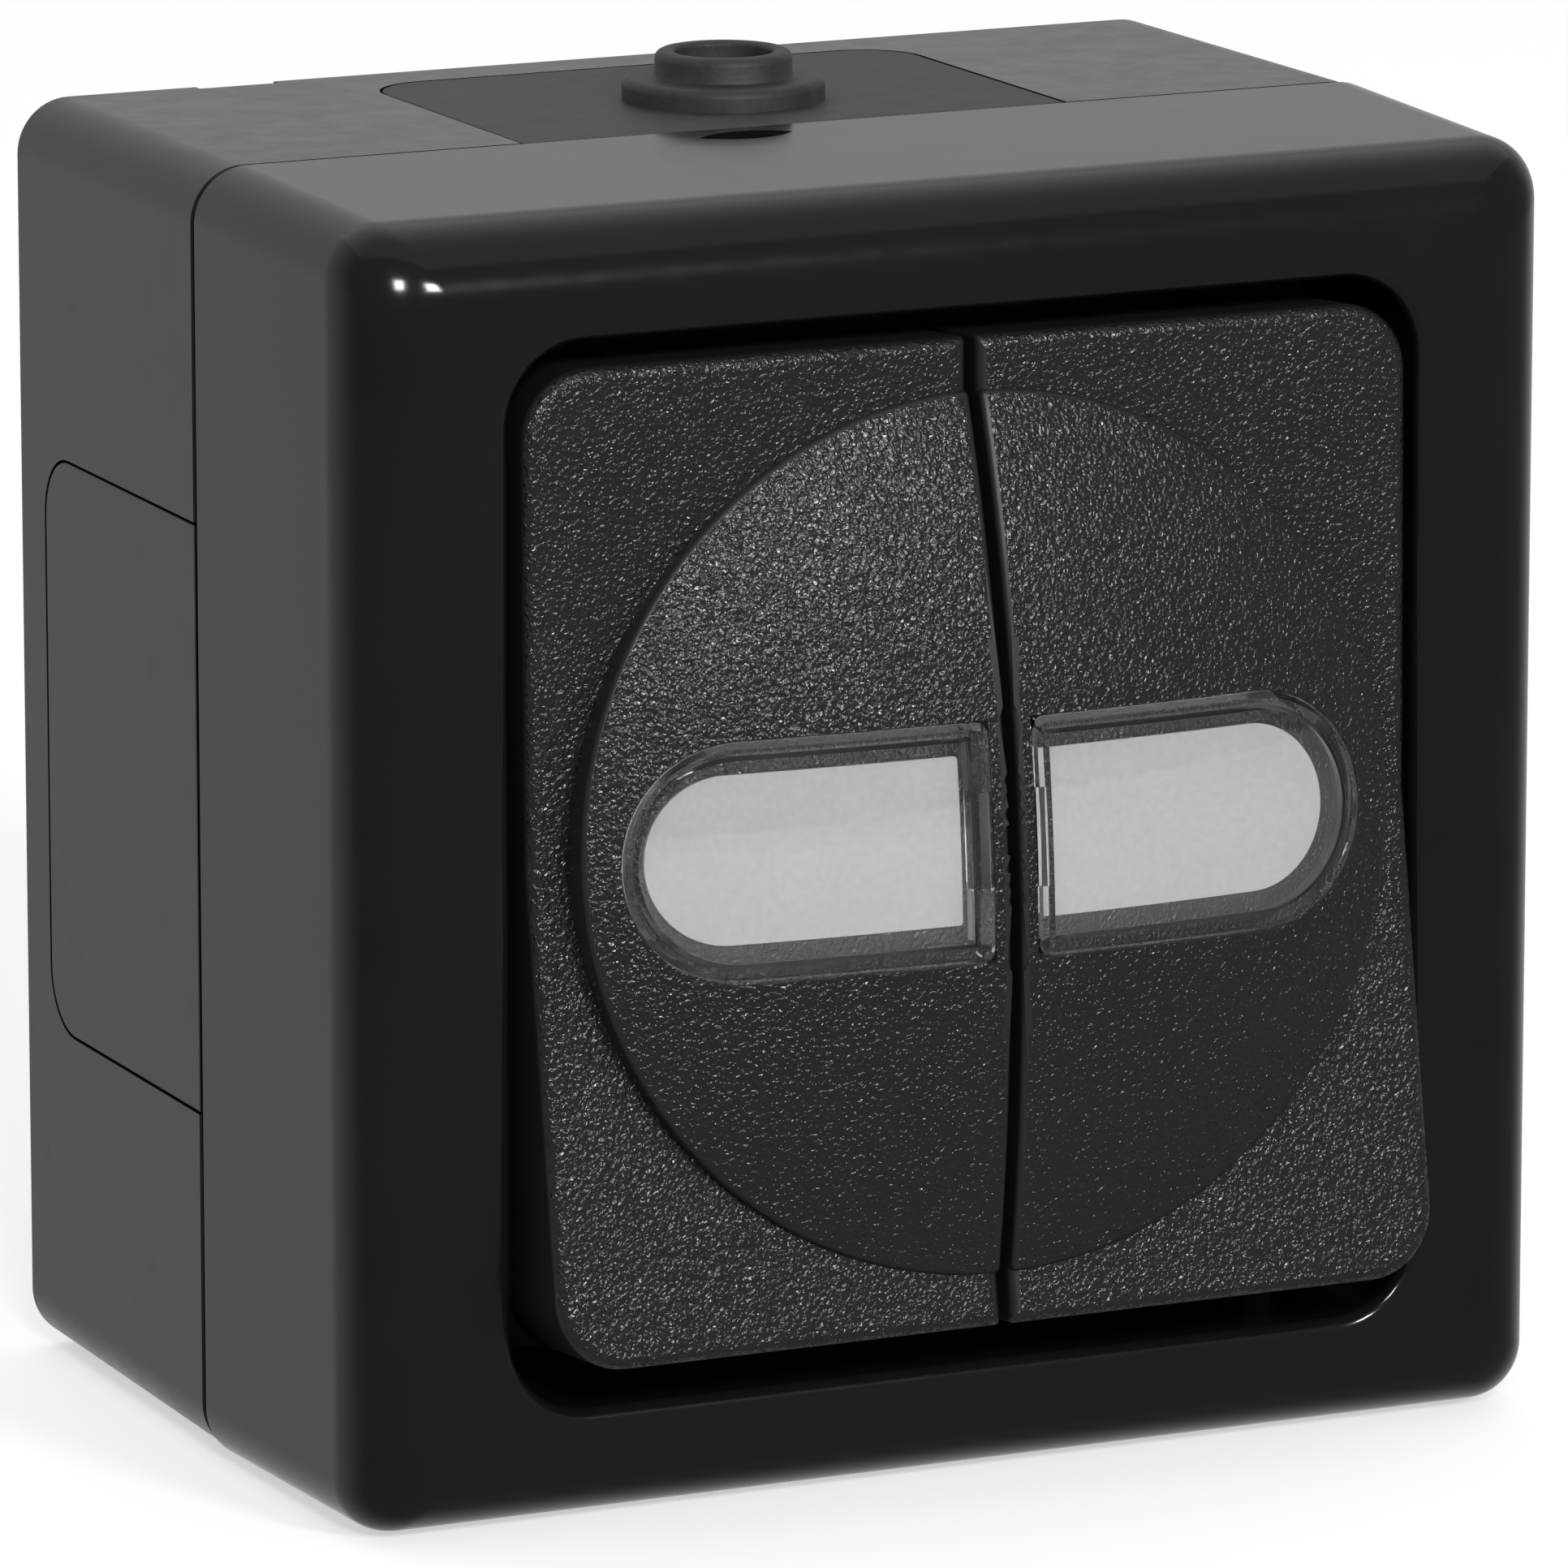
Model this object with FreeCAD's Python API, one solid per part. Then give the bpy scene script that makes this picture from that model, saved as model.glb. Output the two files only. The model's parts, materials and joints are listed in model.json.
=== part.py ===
import FreeCAD, Part
import math
import os

# Surface-mounted damp-room switch with two rockers, for a wall.
# Millimetres, +Z up, the rockers face -Y, the wall is the plane Y = 0.
# The origin is the middle of the back face. A "depth" below is the distance from the wall, so a point at
# depth d lies at Y = -d. The part is built with both rockers pressed at their top ends.

# ---- driving sizes -------------------------------------------------------------------------------
SIDE = 75.0                 # width and height of the cover
BOX_DEPTH = 27.7            # wall to the rim of the back box
SEAM = 0.3                  # open joint between box and cover
FRAME_DEPTH = 51.0          # wall to the flat front of the cover
CORNER_R = 3.2              # corners of box and cover, seen from the front
FRONT_R = 3.1               # rounding of the cover's front edge, below CORNER_R
WALL = 2.4                  # wall thickness of box and cover
FLOOR = 2.5                 # floor of the back box
DRAFT = 0.35                # how much narrower the box is at the wall, on each side
COVER_DRAFT = 0.4           # how much narrower the cover is at its front, on each side

INSERT_HALF = 17.2          # half width of the cut-outs in the box sides
INSERT_START = 4.0          # depth at which the cut-outs begin
INSERT_R = 3.8
INSERT_FIT = 0.15           # gap round an insert
FLANGE = 1.6                # how far an insert's inner flange overlaps the wall
FLANGE_T = 1.4

PAIR_X = 54.6               # both rockers together
PAIR_Z = 56.0
PAIR_HALF = PAIR_X / 2
ROCKER_GAP = 0.6
ROCKER_R = 4.0
ROCKER_PROUD = 2.7          # rocker ends in front of the cover, in the middle position
ROCKER_END = FRAME_DEPTH + ROCKER_PROUD
VALLEY_DEG = 4.4            # slope of each half of the rocker's outer field
SKIRT_BACK = ROCKER_END - 7.7   # rocker's rear edge in the middle position
ROCKER_T = 1.8
DISC_MARGIN = 2.3           # disc's edge to the rocker's outer side
DISC_R = PAIR_HALF - DISC_MARGIN
DOME_R = 100.0              # radius of the disc's domed face
TILT_DEG = 5.2              # each rocker swings this much to both sides of the middle
PIVOT_DEPTH = ROCKER_END - 11.5
FRONT_LIMIT = ROCKER_END + 8.3  # in front of everything, for cuts that run right out

OPEN_GAP_X = 0.75           # rockers to the opening, at the sides and at the ends
OPEN_GAP_Z = 2.35
OPEN_X = PAIR_X + 2 * OPEN_GAP_X
OPEN_Z = PAIR_Z + 2 * OPEN_GAP_Z
OPEN_R = 4.6
WELL_T = 1.8                # wall of the well round the rockers
WELL_BACK = PIVOT_DEPTH - 5.2

LENS_IN = 1.3               # label lens: inner edge, outer end and half height
LENS_OUT = DISC_R - 2.1
LENS_HALF = 6.85
LENS_PROUD = 0.4
LENS_FIT = 0.08
LABEL_IN = 2.6
LABEL_OUT = LENS_OUT - 2.0
LABEL_HALF = 4.75
LABEL_T = 0.25
POCKET = 2.2                # depth of the label pocket below the dome
WINDOW_BACK = ROCKER_END - 3.7  # behind the pocket's floor, for cuts

STRAP_BELOW_PIVOT = 12.2
STRAP_DEPTH = PIVOT_DEPTH - STRAP_BELOW_PIVOT   # strap's rear face, on the posts
STRAP_T = 1.2
STRAP_HALF = 33.0
POST_XZ = 30.3
POST_R = 3.4
WALL_HOLE_XZ = 25.0         # fixing holes to the wall
WALL_HOLE_R = 2.3

GANG_X = PAIR_HALF - 16.3   # middle of one switch, left and right of the middle plane
BASE_HALF_X = GANG_X + 11.0
BASE_HALF_Z = 22.0
BASE_BACK = STRAP_DEPTH - 21.0
CAVITY_FLOOR = STRAP_DEPTH - 8.0
CHEEK_OUT = PAIR_HALF - 4.8     # outer faces of the outer bearing cheeks
CHEEK_T = 2.6
HUB_END = PAIR_HALF - 7.9       # outer end of a cradle's hub
HUB_START = 1.8
BEARING_HALF_X = CHEEK_OUT + 0.5
BEARING_HALF_Z = 23.0
BEARING_T = 2.5
PIN_R = 1.25
HUB_R = 3.2
ARM_TILT_DEG = 4.0          # tilt of a see-saw contact arm at each end of its travel
ARM_PIVOT = STRAP_DEPTH - 3.6
TIP_DEPTH = ARM_PIVOT + 1.4     # plunger tip in the middle position

SIDES = (("left", -1), ("right", 1))
OUT = "parts"
os.makedirs(OUT, exist_ok=True)


# ---- helpers -------------------------------------------------------------------------------------
def vec(x, y, z):
    return FreeCAD.Vector(x, y, z)


def block(x0, x1, d0, d1, z0, z1):
    """Box between two x, two depths and two z."""
    return Part.makeBox(x1 - x0, d1 - d0, z1 - z0, vec(x0, -d1, z0))


def rod(r, x, z, d0, d1):
    """Cylinder square to the wall, from depth d0 out to depth d1."""
    return Part.makeCylinder(r, d1 - d0, vec(x, -d0, z), vec(0, -1, 0))


def cross_rod(r, x0, x1, depth, z=0.0):
    """Cylinder along X."""
    return Part.makeCylinder(r, x1 - x0, vec(x0, -depth, z), vec(1, 0, 0))


def round_rect(half_x, half_z, r, depth):
    """Wire of a rounded rectangle at one depth, centred on the middle axis."""
    k = r * math.sqrt(0.5)
    edges = []
    for i in range(4):
        a = math.pi / 2 * i
        ca, sa = round(math.cos(a)), round(math.sin(a))
        hx, hz = (half_x, half_z) if i % 2 == 0 else (half_z, half_x)

        def put(u, v):
            return vec(u * ca - v * sa, -depth, u * sa + v * ca)

        cx, cz = hx - r, hz - r
        edges.append(Part.makeLine(put(hx, -cz), put(hx, cz)))
        edges.append(Part.Arc(put(hx, cz), put(cx + k, cz + k), put(cx, hz)).toShape())
    return Part.Wire(edges)


def prism(wire, d0, d1):
    """Solid from a wire drawn at depth d0, pushed out to depth d1."""
    return Part.Face(wire).extrude(vec(0, -(d1 - d0), 0))


def rect_prism(half_x, half_z, r, d0, d1):
    return prism(round_rect(half_x, half_z, r, d0), d0, d1)


def drafted(half0, half1, r, d0, d1):
    """Square rounded solid that is half0 wide at d0 and half1 wide at d1."""
    return Part.makeLoft([round_rect(half0, half0, r, d0), round_rect(half1, half1, r, d1)], True, True)


def fuse(shapes):
    shapes = list(shapes)
    return shapes[0].fuse(shapes[1:]).removeSplitter()


def turned(shape, degrees, depth):
    """Shape turned about the X line at one depth and z = 0."""
    out = shape.copy()
    out.rotate(vec(0, -depth, 0), vec(1, 0, 0), degrees)
    return out


def spun(shape, degrees):
    """Shape turned about the middle axis, to put a piece on another side of the box."""
    out = shape.copy()
    out.rotate(vec(0, 0, 0), vec(0, 1, 0), degrees)
    return out


def mirrored(shape, sign):
    return shape if sign < 0 else shape.mirror(vec(0, 0, 0), vec(1, 0, 0))


def fillet_where(shape, r, test):
    edges = [e for e in shape.Edges if test(e)]
    return shape.makeFillet(r, edges)


def save(name, shape):
    if shape.ShapeType != "Solid":
        solids = shape.Solids
        if len(solids) != 1:
            raise ValueError("%s has %d solids" % (name, len(solids)))
        shape = solids[0]
    if not shape.isValid() or shape.Volume <= 0:
        raise ValueError("%s is not a sound solid" % name)
    shape.exportStep("%s/%s.step" % (OUT, name))


# ---- box, inserts and gasket ---------------------------------------------------------------------
HALF = SIDE / 2
BOX_HALF_BACK = HALF - DRAFT
BOX_HALF_RIM = HALF - 0.1
COVER_BACK = BOX_DEPTH + SEAM
INNER_HALF = HALF - WALL - 0.2
RIM_GROOVE = (HALF - 1.9, HALF - 0.8, BOX_DEPTH - 1.0)     # inner half, outer half, floor depth


def rim_ring(d0, d1, slack):
    outer = rect_prism(RIM_GROOVE[1] + slack, RIM_GROOVE[1] + slack, CORNER_R - 0.6, d0, d1)
    inner = rect_prism(RIM_GROOVE[0] - slack, RIM_GROOVE[0] - slack, CORNER_R - 1.5, d0 - 1, d1 + 1)
    return outer.cut(inner)


def side_outline(half, d0, d1, r, z0, z1):
    """Plate for the top side: straight at the rim, rounded at the two rear corners."""
    plate = block(-half, half, d0, d1 + r, z0, z1)
    plate = plate.makeFillet(r, [e for e in plate.Edges if abs(e.Vertexes[0].Z - e.Vertexes[-1].Z) > 0.5
                                 and e.Vertexes[0].Y > -d0 - 0.1])
    return plate.common(block(-half - 1, half + 1, d0 - 1, d1, z0 - 1, z1 + 1))


def box_outer():
    return drafted(BOX_HALF_BACK, BOX_HALF_RIM, CORNER_R, 0, BOX_DEPTH)


def make_back_box():
    body = box_outer().cut(rect_prism(INNER_HALF, INNER_HALF, CORNER_R - 1.8, FLOOR, BOX_DEPTH + 1))
    cut_out = side_outline(INSERT_HALF, INSERT_START, BOX_DEPTH + 1, INSERT_R, INNER_HALF - 1, HALF + 1)
    body = body.cut([spun(cut_out, 90 * i) for i in range(4)])
    posts = []
    for sx in (-1, 1):
        for sz in (-1, 1):
            posts.append(rod(POST_R, sx * POST_XZ, sz * POST_XZ, FLOOR - 0.5, STRAP_DEPTH))
            x0, x1 = sorted((sx * POST_XZ, sx * (INNER_HALF + 0.5)))
            posts.append(block(x0, x1, FLOOR - 0.5, BOX_DEPTH - 2.5, sz * POST_XZ - 1, sz * POST_XZ + 1))
            posts.append(rod(WALL_HOLE_R + 1.6, sx * WALL_HOLE_XZ, sz * WALL_HOLE_XZ, FLOOR - 0.5, FLOOR + 0.8))
    body = fuse([body] + posts)
    holes = [rim_ring(RIM_GROOVE[2], BOX_DEPTH + 2, 0.05)]
    for sx in (-1, 1):
        for sz in (-1, 1):
            holes.append(rod(SCREW_R + 0.03, sx * POST_XZ, sz * POST_XZ, STRAP_DEPTH - 11, STRAP_DEPTH + 1))
            holes.append(rod(WALL_HOLE_R, sx * WALL_HOLE_XZ, sz * WALL_HOLE_XZ, -1, FLOOR + 2))
    # the small break-out on the wall edge of the top side
    holes.append(block(-26.0, -21.0, -1, 1.0, HALF - 1.4, HALF + 1))
    return body.cut(holes)


def insert_plate():
    """Insert for the top side: a plate flush with the box wall and an inner flange that overlaps it."""
    plate = side_outline(INSERT_HALF - INSERT_FIT, INSERT_START + INSERT_FIT, BOX_DEPTH, INSERT_R - INSERT_FIT,
                         INNER_HALF - FLANGE_T, HALF + 1).common(fuse([box_outer()]))
    flange = side_outline(INSERT_HALF + FLANGE, INSERT_START - 1.2, BOX_DEPTH - 2.5, INSERT_R,
                          INNER_HALF - FLANGE_T, INNER_HALF - 0.1)
    body = fuse([plate, flange])
    return body.cut(rim_ring(RIM_GROOVE[2], BOX_DEPTH + 2, 0.05))


def make_blank_insert(side):
    plate = insert_plate()
    rib = block(-10, 10, 14.0, 15.2, INNER_HALF - FLANGE_T - 0.8, INNER_HALF - FLANGE_T + 0.2)
    return spun(fuse([plate, rib]), {"right": 90, "bottom": 180, "left": 270}[side])


NOZZLE_DEPTH = 17.5
NOZZLE_HOLE_R = 2.85
NOZZLE_RING_R = 4.0
NOZZLE_FLANGE_R = 5.9
NOZZLE_FLANGE_H = 1.3
NOZZLE_RING_H = 1.5


def make_cable_membrane():
    top = HALF - 0.15

    def disc(r, z0, h):
        return Part.makeCylinder(r, h, vec(0, -NOZZLE_DEPTH, z0), vec(0, 0, 1))

    flange = disc(NOZZLE_FLANGE_R, top - 1, NOZZLE_FLANGE_H + 1)
    flange = flange.makeFillet(0.55, [e for e in flange.Edges if e.BoundBox.ZMin > top + NOZZLE_FLANGE_H - 0.01
                                      and e.Curve.TypeId == "Part::GeomCircle"])
    ring = disc(NOZZLE_RING_R, top, NOZZLE_FLANGE_H + NOZZLE_RING_H)
    ring_top = top + NOZZLE_FLANGE_H + NOZZLE_RING_H
    ring = ring.makeFillet(0.7, [e for e in ring.Edges if e.BoundBox.ZMin > ring_top - 0.01
                                 and e.Curve.TypeId == "Part::GeomCircle"])
    body = fuse([insert_plate(), flange, ring])
    return body.cut(disc(NOZZLE_HOLE_R, INNER_HALF - 5, 20))


# ---- cover ---------------------------------------------------------------------------------------
SLOT_X = -4.5
SLOT_LONG = 5.8
SLOT_WIDE = 2.4
SLOT_DEPTH = COVER_BACK + 2.6
LATCH_X = -4.5


def lens_outline_prism(cx, cd, long, wide, z0, z1):
    """Pointed oval slot, pushed along Z."""
    a, b = long / 2, wide / 2
    ends = (vec(cx - a, -cd, z0), vec(cx + a, -cd, z0))
    arcs = [Part.Arc(ends[0], vec(cx, -cd - b, z0), ends[1]).toShape(),
            Part.Arc(ends[1], vec(cx, -cd + b, z0), ends[0]).toShape()]
    return Part.Face(Part.Wire(arcs)).extrude(vec(0, 0, z1 - z0))


def make_front_cover():
    outer = drafted(HALF, HALF - COVER_DRAFT, CORNER_R, COVER_BACK, FRAME_DEPTH)
    outer = fillet_where(outer, FRONT_R, lambda e: e.BoundBox.YMax < -FRAME_DEPTH + 0.01)
    cavity = rect_prism(HALF - WALL, HALF - WALL, CORNER_R - 2.0, COVER_BACK - 1, FRAME_DEPTH - 2.6)
    shell = outer.cut(cavity)
    ox, oz = OPEN_X / 2, OPEN_Z / 2
    well = rect_prism(ox + WELL_T, oz + WELL_T, OPEN_R + WELL_T, WELL_BACK, FRAME_DEPTH - 1)
    latches = []
    for s in (-1, 1):
        x0, x1 = s * -LATCH_X - 4, s * -LATCH_X + 4
        tongue = block(x0, x1, STRAP_DEPTH - 1.6, FRAME_DEPTH - 2, STRAP_HALF + 0.25, STRAP_HALF + 1.45)
        nose = block(x0, x1, STRAP_DEPTH - 1.6, STRAP_DEPTH - 0.25, STRAP_HALF - 0.8, STRAP_HALF + 0.8)
        hook = fuse([tongue, nose])
        latches.append(hook if s < 0 else hook.mirror(vec(0, 0, 0), vec(0, 0, 1)))
    body = fuse([shell, well] + latches)
    body = body.cut(rect_prism(ox, oz, OPEN_R, WELL_BACK - 1, FRAME_DEPTH + 1))
    body = body.cut(lens_outline_prism(SLOT_X, SLOT_DEPTH, SLOT_LONG, SLOT_WIDE, HALF - WALL - 0.3, HALF + 1))
    lip = [e for e in body.Edges if e.BoundBox.YMax < -FRAME_DEPTH + 0.01
           and abs(e.BoundBox.Center.x) < ox + 0.1 and abs(e.BoundBox.Center.z) < oz + 0.1]
    return body.makeFillet(0.8, lip)


# ---- support strap, base and bearing frame -------------------------------------------------------
SCREW_R = 1.25
WINDOW_X = GANG_X + 9.0        # window of the strap that the base looks through
WINDOW_Z = 16.0
FRAME_SCREW_Z = 18.8
BEARING_RIM_T = 1.4
BEARING_FRONT = STRAP_DEPTH + STRAP_T + BEARING_T
CHEEK_TOP = PIVOT_DEPTH + 3.2
PIN_FIT = 0.02              # pin in the cheeks
HUB_FIT = 0.05              # pin in the hub
CHEEKS = ((-CHEEK_OUT, -CHEEK_OUT + CHEEK_T), (-CHEEK_T / 2, CHEEK_T / 2),
          (CHEEK_OUT - CHEEK_T, CHEEK_OUT))


def make_support_strap():
    plate = rect_prism(STRAP_HALF, STRAP_HALF, 3.0, STRAP_DEPTH, STRAP_DEPTH + STRAP_T)
    cuts = [rect_prism(WINDOW_X, WINDOW_Z, 1.0, STRAP_DEPTH - 1, STRAP_DEPTH + STRAP_T + 1)]
    for s in (-1, 1):
        cuts.append(rod(SCREW_R + 0.25, 0, s * FRAME_SCREW_Z, STRAP_DEPTH - 1, STRAP_DEPTH + STRAP_T + 1))
        for t in (-1, 1):
            cuts.append(rod(SCREW_R + 0.25, s * POST_XZ, t * POST_XZ, STRAP_DEPTH - 1, STRAP_DEPTH + STRAP_T + 1))
            # relief slots between the corner ears
            cuts.append(block(-9, 9, STRAP_DEPTH - 1, STRAP_DEPTH + STRAP_T + 1,
                              min(t * 25.0, t * 27.5), max(t * 25.0, t * 27.5)))
    return plate.cut(cuts)


TERMINAL_HALF = 3.2
TERMINAL_BACK = BASE_BACK + 1.0
TERMINAL_TOP = CAVITY_FLOOR - 3.5
TERMINAL_Z = 17.3
WIRE_DEPTH = TERMINAL_BACK + 5.0
WIRE_ROOM = 1.8             # half width of the channel that a wire comes in by
COMMON_X = GANG_X + 6.6
TERMINAL_SPOTS = {"common": (-COMMON_X, 0.0), "upper": (-GANG_X, TERMINAL_Z), "lower": (-GANG_X, -TERMINAL_Z)}
LEAD_T = 0.8
WIRE_HOLE_R = 1.5


def make_switch_base():
    body = rect_prism(BASE_HALF_X, BASE_HALF_Z, 2.0, BASE_BACK, STRAP_DEPTH)
    cuts = []
    for _, sign in SIDES:
        gang = [block(-GANG_X - 8.4, -3.4, CAVITY_FLOOR, STRAP_DEPTH + 1, -13.5, 13.5)]
        for x, z in TERMINAL_SPOTS.values():
            h = TERMINAL_HALF + 0.1
            gang.append(block(x - h, x + h, BASE_BACK - 1, TERMINAL_TOP + 0.1, z - h, z + h))
            # channel for the wire, from the nearest side of the base
            if z:
                z0, z1 = sorted((z, math.copysign(BASE_HALF_Z + 1, z)))
                x0, x1 = x - WIRE_ROOM, x + WIRE_ROOM
            else:
                z0, z1 = -WIRE_ROOM, WIRE_ROOM
                x0, x1 = -BASE_HALF_X - 1, x
            gang.append(block(x0, x1, WIRE_DEPTH - WIRE_ROOM, WIRE_DEPTH + WIRE_ROOM, z0, z1))
        for s in (-1, 1):
            gang.append(block(-GANG_X - 2.1, -GANG_X + 2.1, TERMINAL_TOP - 1, CAVITY_FLOOR + 4,
                              min(s * 13.0, s * 15.2), max(s * 13.0, s * 15.2)))
        gang.append(block(-GANG_X - 8.3, -GANG_X - 4.9, TERMINAL_TOP - 1, CAVITY_FLOOR + 1, -0.6, 0.6))
        cuts += [mirrored(c, sign) for c in gang]
    for s in (-1, 1):
        cuts.append(rod(SCREW_R + 0.03, 0, s * FRAME_SCREW_Z, STRAP_DEPTH - 12, STRAP_DEPTH + 1))
    return body.cut(cuts)


def make_bearing_frame():
    back = STRAP_DEPTH + STRAP_T
    plate = rect_prism(BEARING_HALF_X, BEARING_HALF_Z, 2.5, back, BEARING_FRONT)
    rim = rect_prism(BEARING_HALF_X, BEARING_HALF_Z, 2.5, back, HAT_FLANGE_BACK)
    rim = rim.cut(rect_prism(BEARING_HALF_X - BEARING_RIM_T, BEARING_HALF_Z - BEARING_RIM_T, 1.4,
                             back - 1, HAT_FLANGE_BACK + 1))
    cheeks = []
    for x0, x1 in CHEEKS:
        foot = block(x0, x1, BEARING_FRONT - 0.5, PIVOT_DEPTH, -5.5, 5.5)
        head = cross_rod(CHEEK_TOP - PIVOT_DEPTH, x0, x1, PIVOT_DEPTH)
        neck = block(x0, x1, PIVOT_DEPTH - 1, PIVOT_DEPTH, -3.2, 3.2)
        foot = foot.makeChamfer(2.0, [e for e in foot.Edges if e.BoundBox.XLength > 1
                                      and e.BoundBox.YMax < -PIVOT_DEPTH + 0.01])
        cheeks.append(fuse([foot, head, neck]))
    body = fuse([plate, rim] + cheeks)
    cuts = [cross_rod(PIN_R + PIN_FIT, -HALF, HALF, PIVOT_DEPTH)]
    for s in (-1, 1):
        x0, x1 = sorted((s * 2.0, s * HUB_END))
        cuts.append(block(x0, x1, back - 1, BEARING_FRONT + 0.01, -9, 9))
        cuts.append(rod(SCREW_R + 0.25, 0, s * FRAME_SCREW_Z, back - 1, BEARING_FRONT + 1))
    return body.cut(cuts)


def screw(x, z, d_seat, length, head_r=2.5, head_t=1.6, shank_r=SCREW_R):
    """Pan head screw driven towards the wall, head on the seat at d_seat, with a cross slot."""
    head = rod(head_r, x, z, d_seat, d_seat + head_t)
    head = head.makeFillet(0.6, [e for e in head.Edges if e.BoundBox.YMax < -d_seat - head_t + 0.01
                                 and e.Curve.TypeId == "Part::GeomCircle"])
    body = fuse([head, rod(shank_r, x, z, d_seat - length, d_seat + 0.2)])
    reach = head_r * 0.62
    top = d_seat + head_t
    return body.cut([block(x - reach, x + reach, top - 0.8, top + 1, z - 0.3, z + 0.3),
                     block(x - 0.3, x + 0.3, top - 0.8, top + 1, z - reach, z + reach)])


# ---- sealing membrane under the rockers ----------------------------------------------------------
HAT_X = PAIR_HALF - 2.7
HAT_Z = 9.2
HAT_T = 0.8
HAT_TOP = PIVOT_DEPTH + 4.1
HAT_FLANGE_BACK = WELL_BACK - 1.0
NECK_HALF = 3.2
NECK_ROOM = 0.75            # membrane slot round a cradle neck, so that it can swing


def make_sealing_membrane():
    ox, oz = OPEN_X / 2 + WELL_T - 0.2, OPEN_Z / 2 + WELL_T - 0.2
    flange = rect_prism(ox, oz, OPEN_R + WELL_T - 0.2, HAT_FLANGE_BACK, WELL_BACK)
    hat = rect_prism(HAT_X, HAT_Z, 2.5, HAT_FLANGE_BACK, HAT_TOP)
    hollow = rect_prism(HAT_X - HAT_T, HAT_Z - HAT_T, 1.7, HAT_FLANGE_BACK - 1, HAT_TOP - HAT_T)
    slots = []
    for s in (-1, 1):
        x0, x1 = sorted((s * (HUB_START + 0.2), s * (HUB_END - 0.2)))
        slots.append(block(x0, x1, HAT_TOP - 3, HAT_TOP + 1, -NECK_HALF - NECK_ROOM, NECK_HALF + NECK_ROOM))
    return fuse([flange, hat]).cut([hollow] + slots)


# ---- moving pieces of one switch, drawn for the left one in the middle position ------------------
PLATE_BACK = PIVOT_DEPTH + 5.2
PLATE_FRONT = PLATE_BACK + 1.6
PLATE_Z = 19.0
PLATE_OUT = PAIR_HALF - 3.3
BOSS_R = 3.3
BOSS_BACK = PIVOT_DEPTH - 9.2
PLUNGER_R = 1.9
PLUNGER_END = PIVOT_DEPTH - 6.6
BORE_R = 2.0
BORE_END = PIVOT_DEPTH - 3.4
SPRING_SEAT = 0.15          # spring to the plunger and to the end of its bore
SPRING_TURNS = 5
SPRING_WIRE = 0.16


def make_cradle():
    x0, x1 = -HUB_END, -HUB_START
    hub = cross_rod(HUB_R, x0, x1, PIVOT_DEPTH)
    neck = block(x0 + 0.6, x1 - 0.6, PIVOT_DEPTH, PLATE_BACK + 0.5, -NECK_HALF, NECK_HALF)
    plate = block(-PLATE_OUT, x1 - 0.6, PLATE_BACK, PLATE_FRONT, -PLATE_Z, PLATE_Z)
    boss = rod(BOSS_R, -GANG_X, 0, BOSS_BACK, PIVOT_DEPTH)
    body = fuse([hub, neck, plate, boss])
    return body.cut([cross_rod(PIN_R + HUB_FIT, x0 - 1, x1 + 1, PIVOT_DEPTH),
                     rod(BORE_R, -GANG_X, 0, BOSS_BACK - 1, BORE_END)])


def make_plunger():
    tip_centre = TIP_DEPTH + PLUNGER_R
    stem = rod(PLUNGER_R, -GANG_X, 0, tip_centre, PLUNGER_END)
    tip = Part.makeSphere(PLUNGER_R, vec(-GANG_X, -tip_centre, 0))
    return fuse([stem, tip])


def make_spring(x):
    """Both springs are wound the same way, as bought springs are."""
    bottom, top = PLUNGER_END + SPRING_SEAT, BORE_END - SPRING_SEAT
    pitch = (top - bottom - 2 * SPRING_WIRE) / SPRING_TURNS
    radius = PLUNGER_R - 0.5
    helix = Part.makeHelix(pitch, pitch * SPRING_TURNS, radius)
    profile = Part.Wire(Part.makeCircle(SPRING_WIRE, vec(radius, 0, 0), vec(0, 1, 0)))
    coil = Part.Wire(helix.Edges).makePipeShell([profile], True, True)
    coil.rotate(vec(0, 0, 0), vec(1, 0, 0), 90)
    coil.translate(vec(x, -bottom - SPRING_WIRE, 0))
    return coil


def dome(r):
    """Ball whose face is the disc's dome, or a face parallel to it."""
    return Part.makeSphere(r, vec(0, -(dome_centre()), 0))


def dome_centre():
    return ROCKER_END - math.sqrt(DOME_R ** 2 - DISC_R ** 2)


def d_shape(inner, outer, half, d0, d1):
    """Flat end towards the middle plane, round end outwards (left side)."""
    bend = outer - half
    pts = (vec(-inner, -d0, -half), vec(-inner, -d0, half), vec(-bend, -d0, half), vec(-bend, -d0, -half))
    edges = [Part.makeLine(pts[0], pts[1]), Part.makeLine(pts[1], pts[2]),
             Part.Arc(pts[2], vec(-outer, -d0, 0), pts[3]).toShape(), Part.makeLine(pts[3], pts[0])]
    return prism(Part.Wire(edges), d0, d1)


def half_outline(grow, d0, d1, corner):
    """One rocker's outline: round corners on the outside, nearly square ones at the gap."""
    x_out, x_in = PAIR_X / 2 - grow, ROCKER_GAP / 2 + grow
    body = block(-x_out, -x_in, d0, d1, -PAIR_Z / 2 + grow, PAIR_Z / 2 - grow)
    outer_edges = [e for e in body.Edges if e.BoundBox.YLength > 1 and e.BoundBox.XMax < -x_out + 0.01]
    return body.makeFillet(corner, outer_edges)


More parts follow.
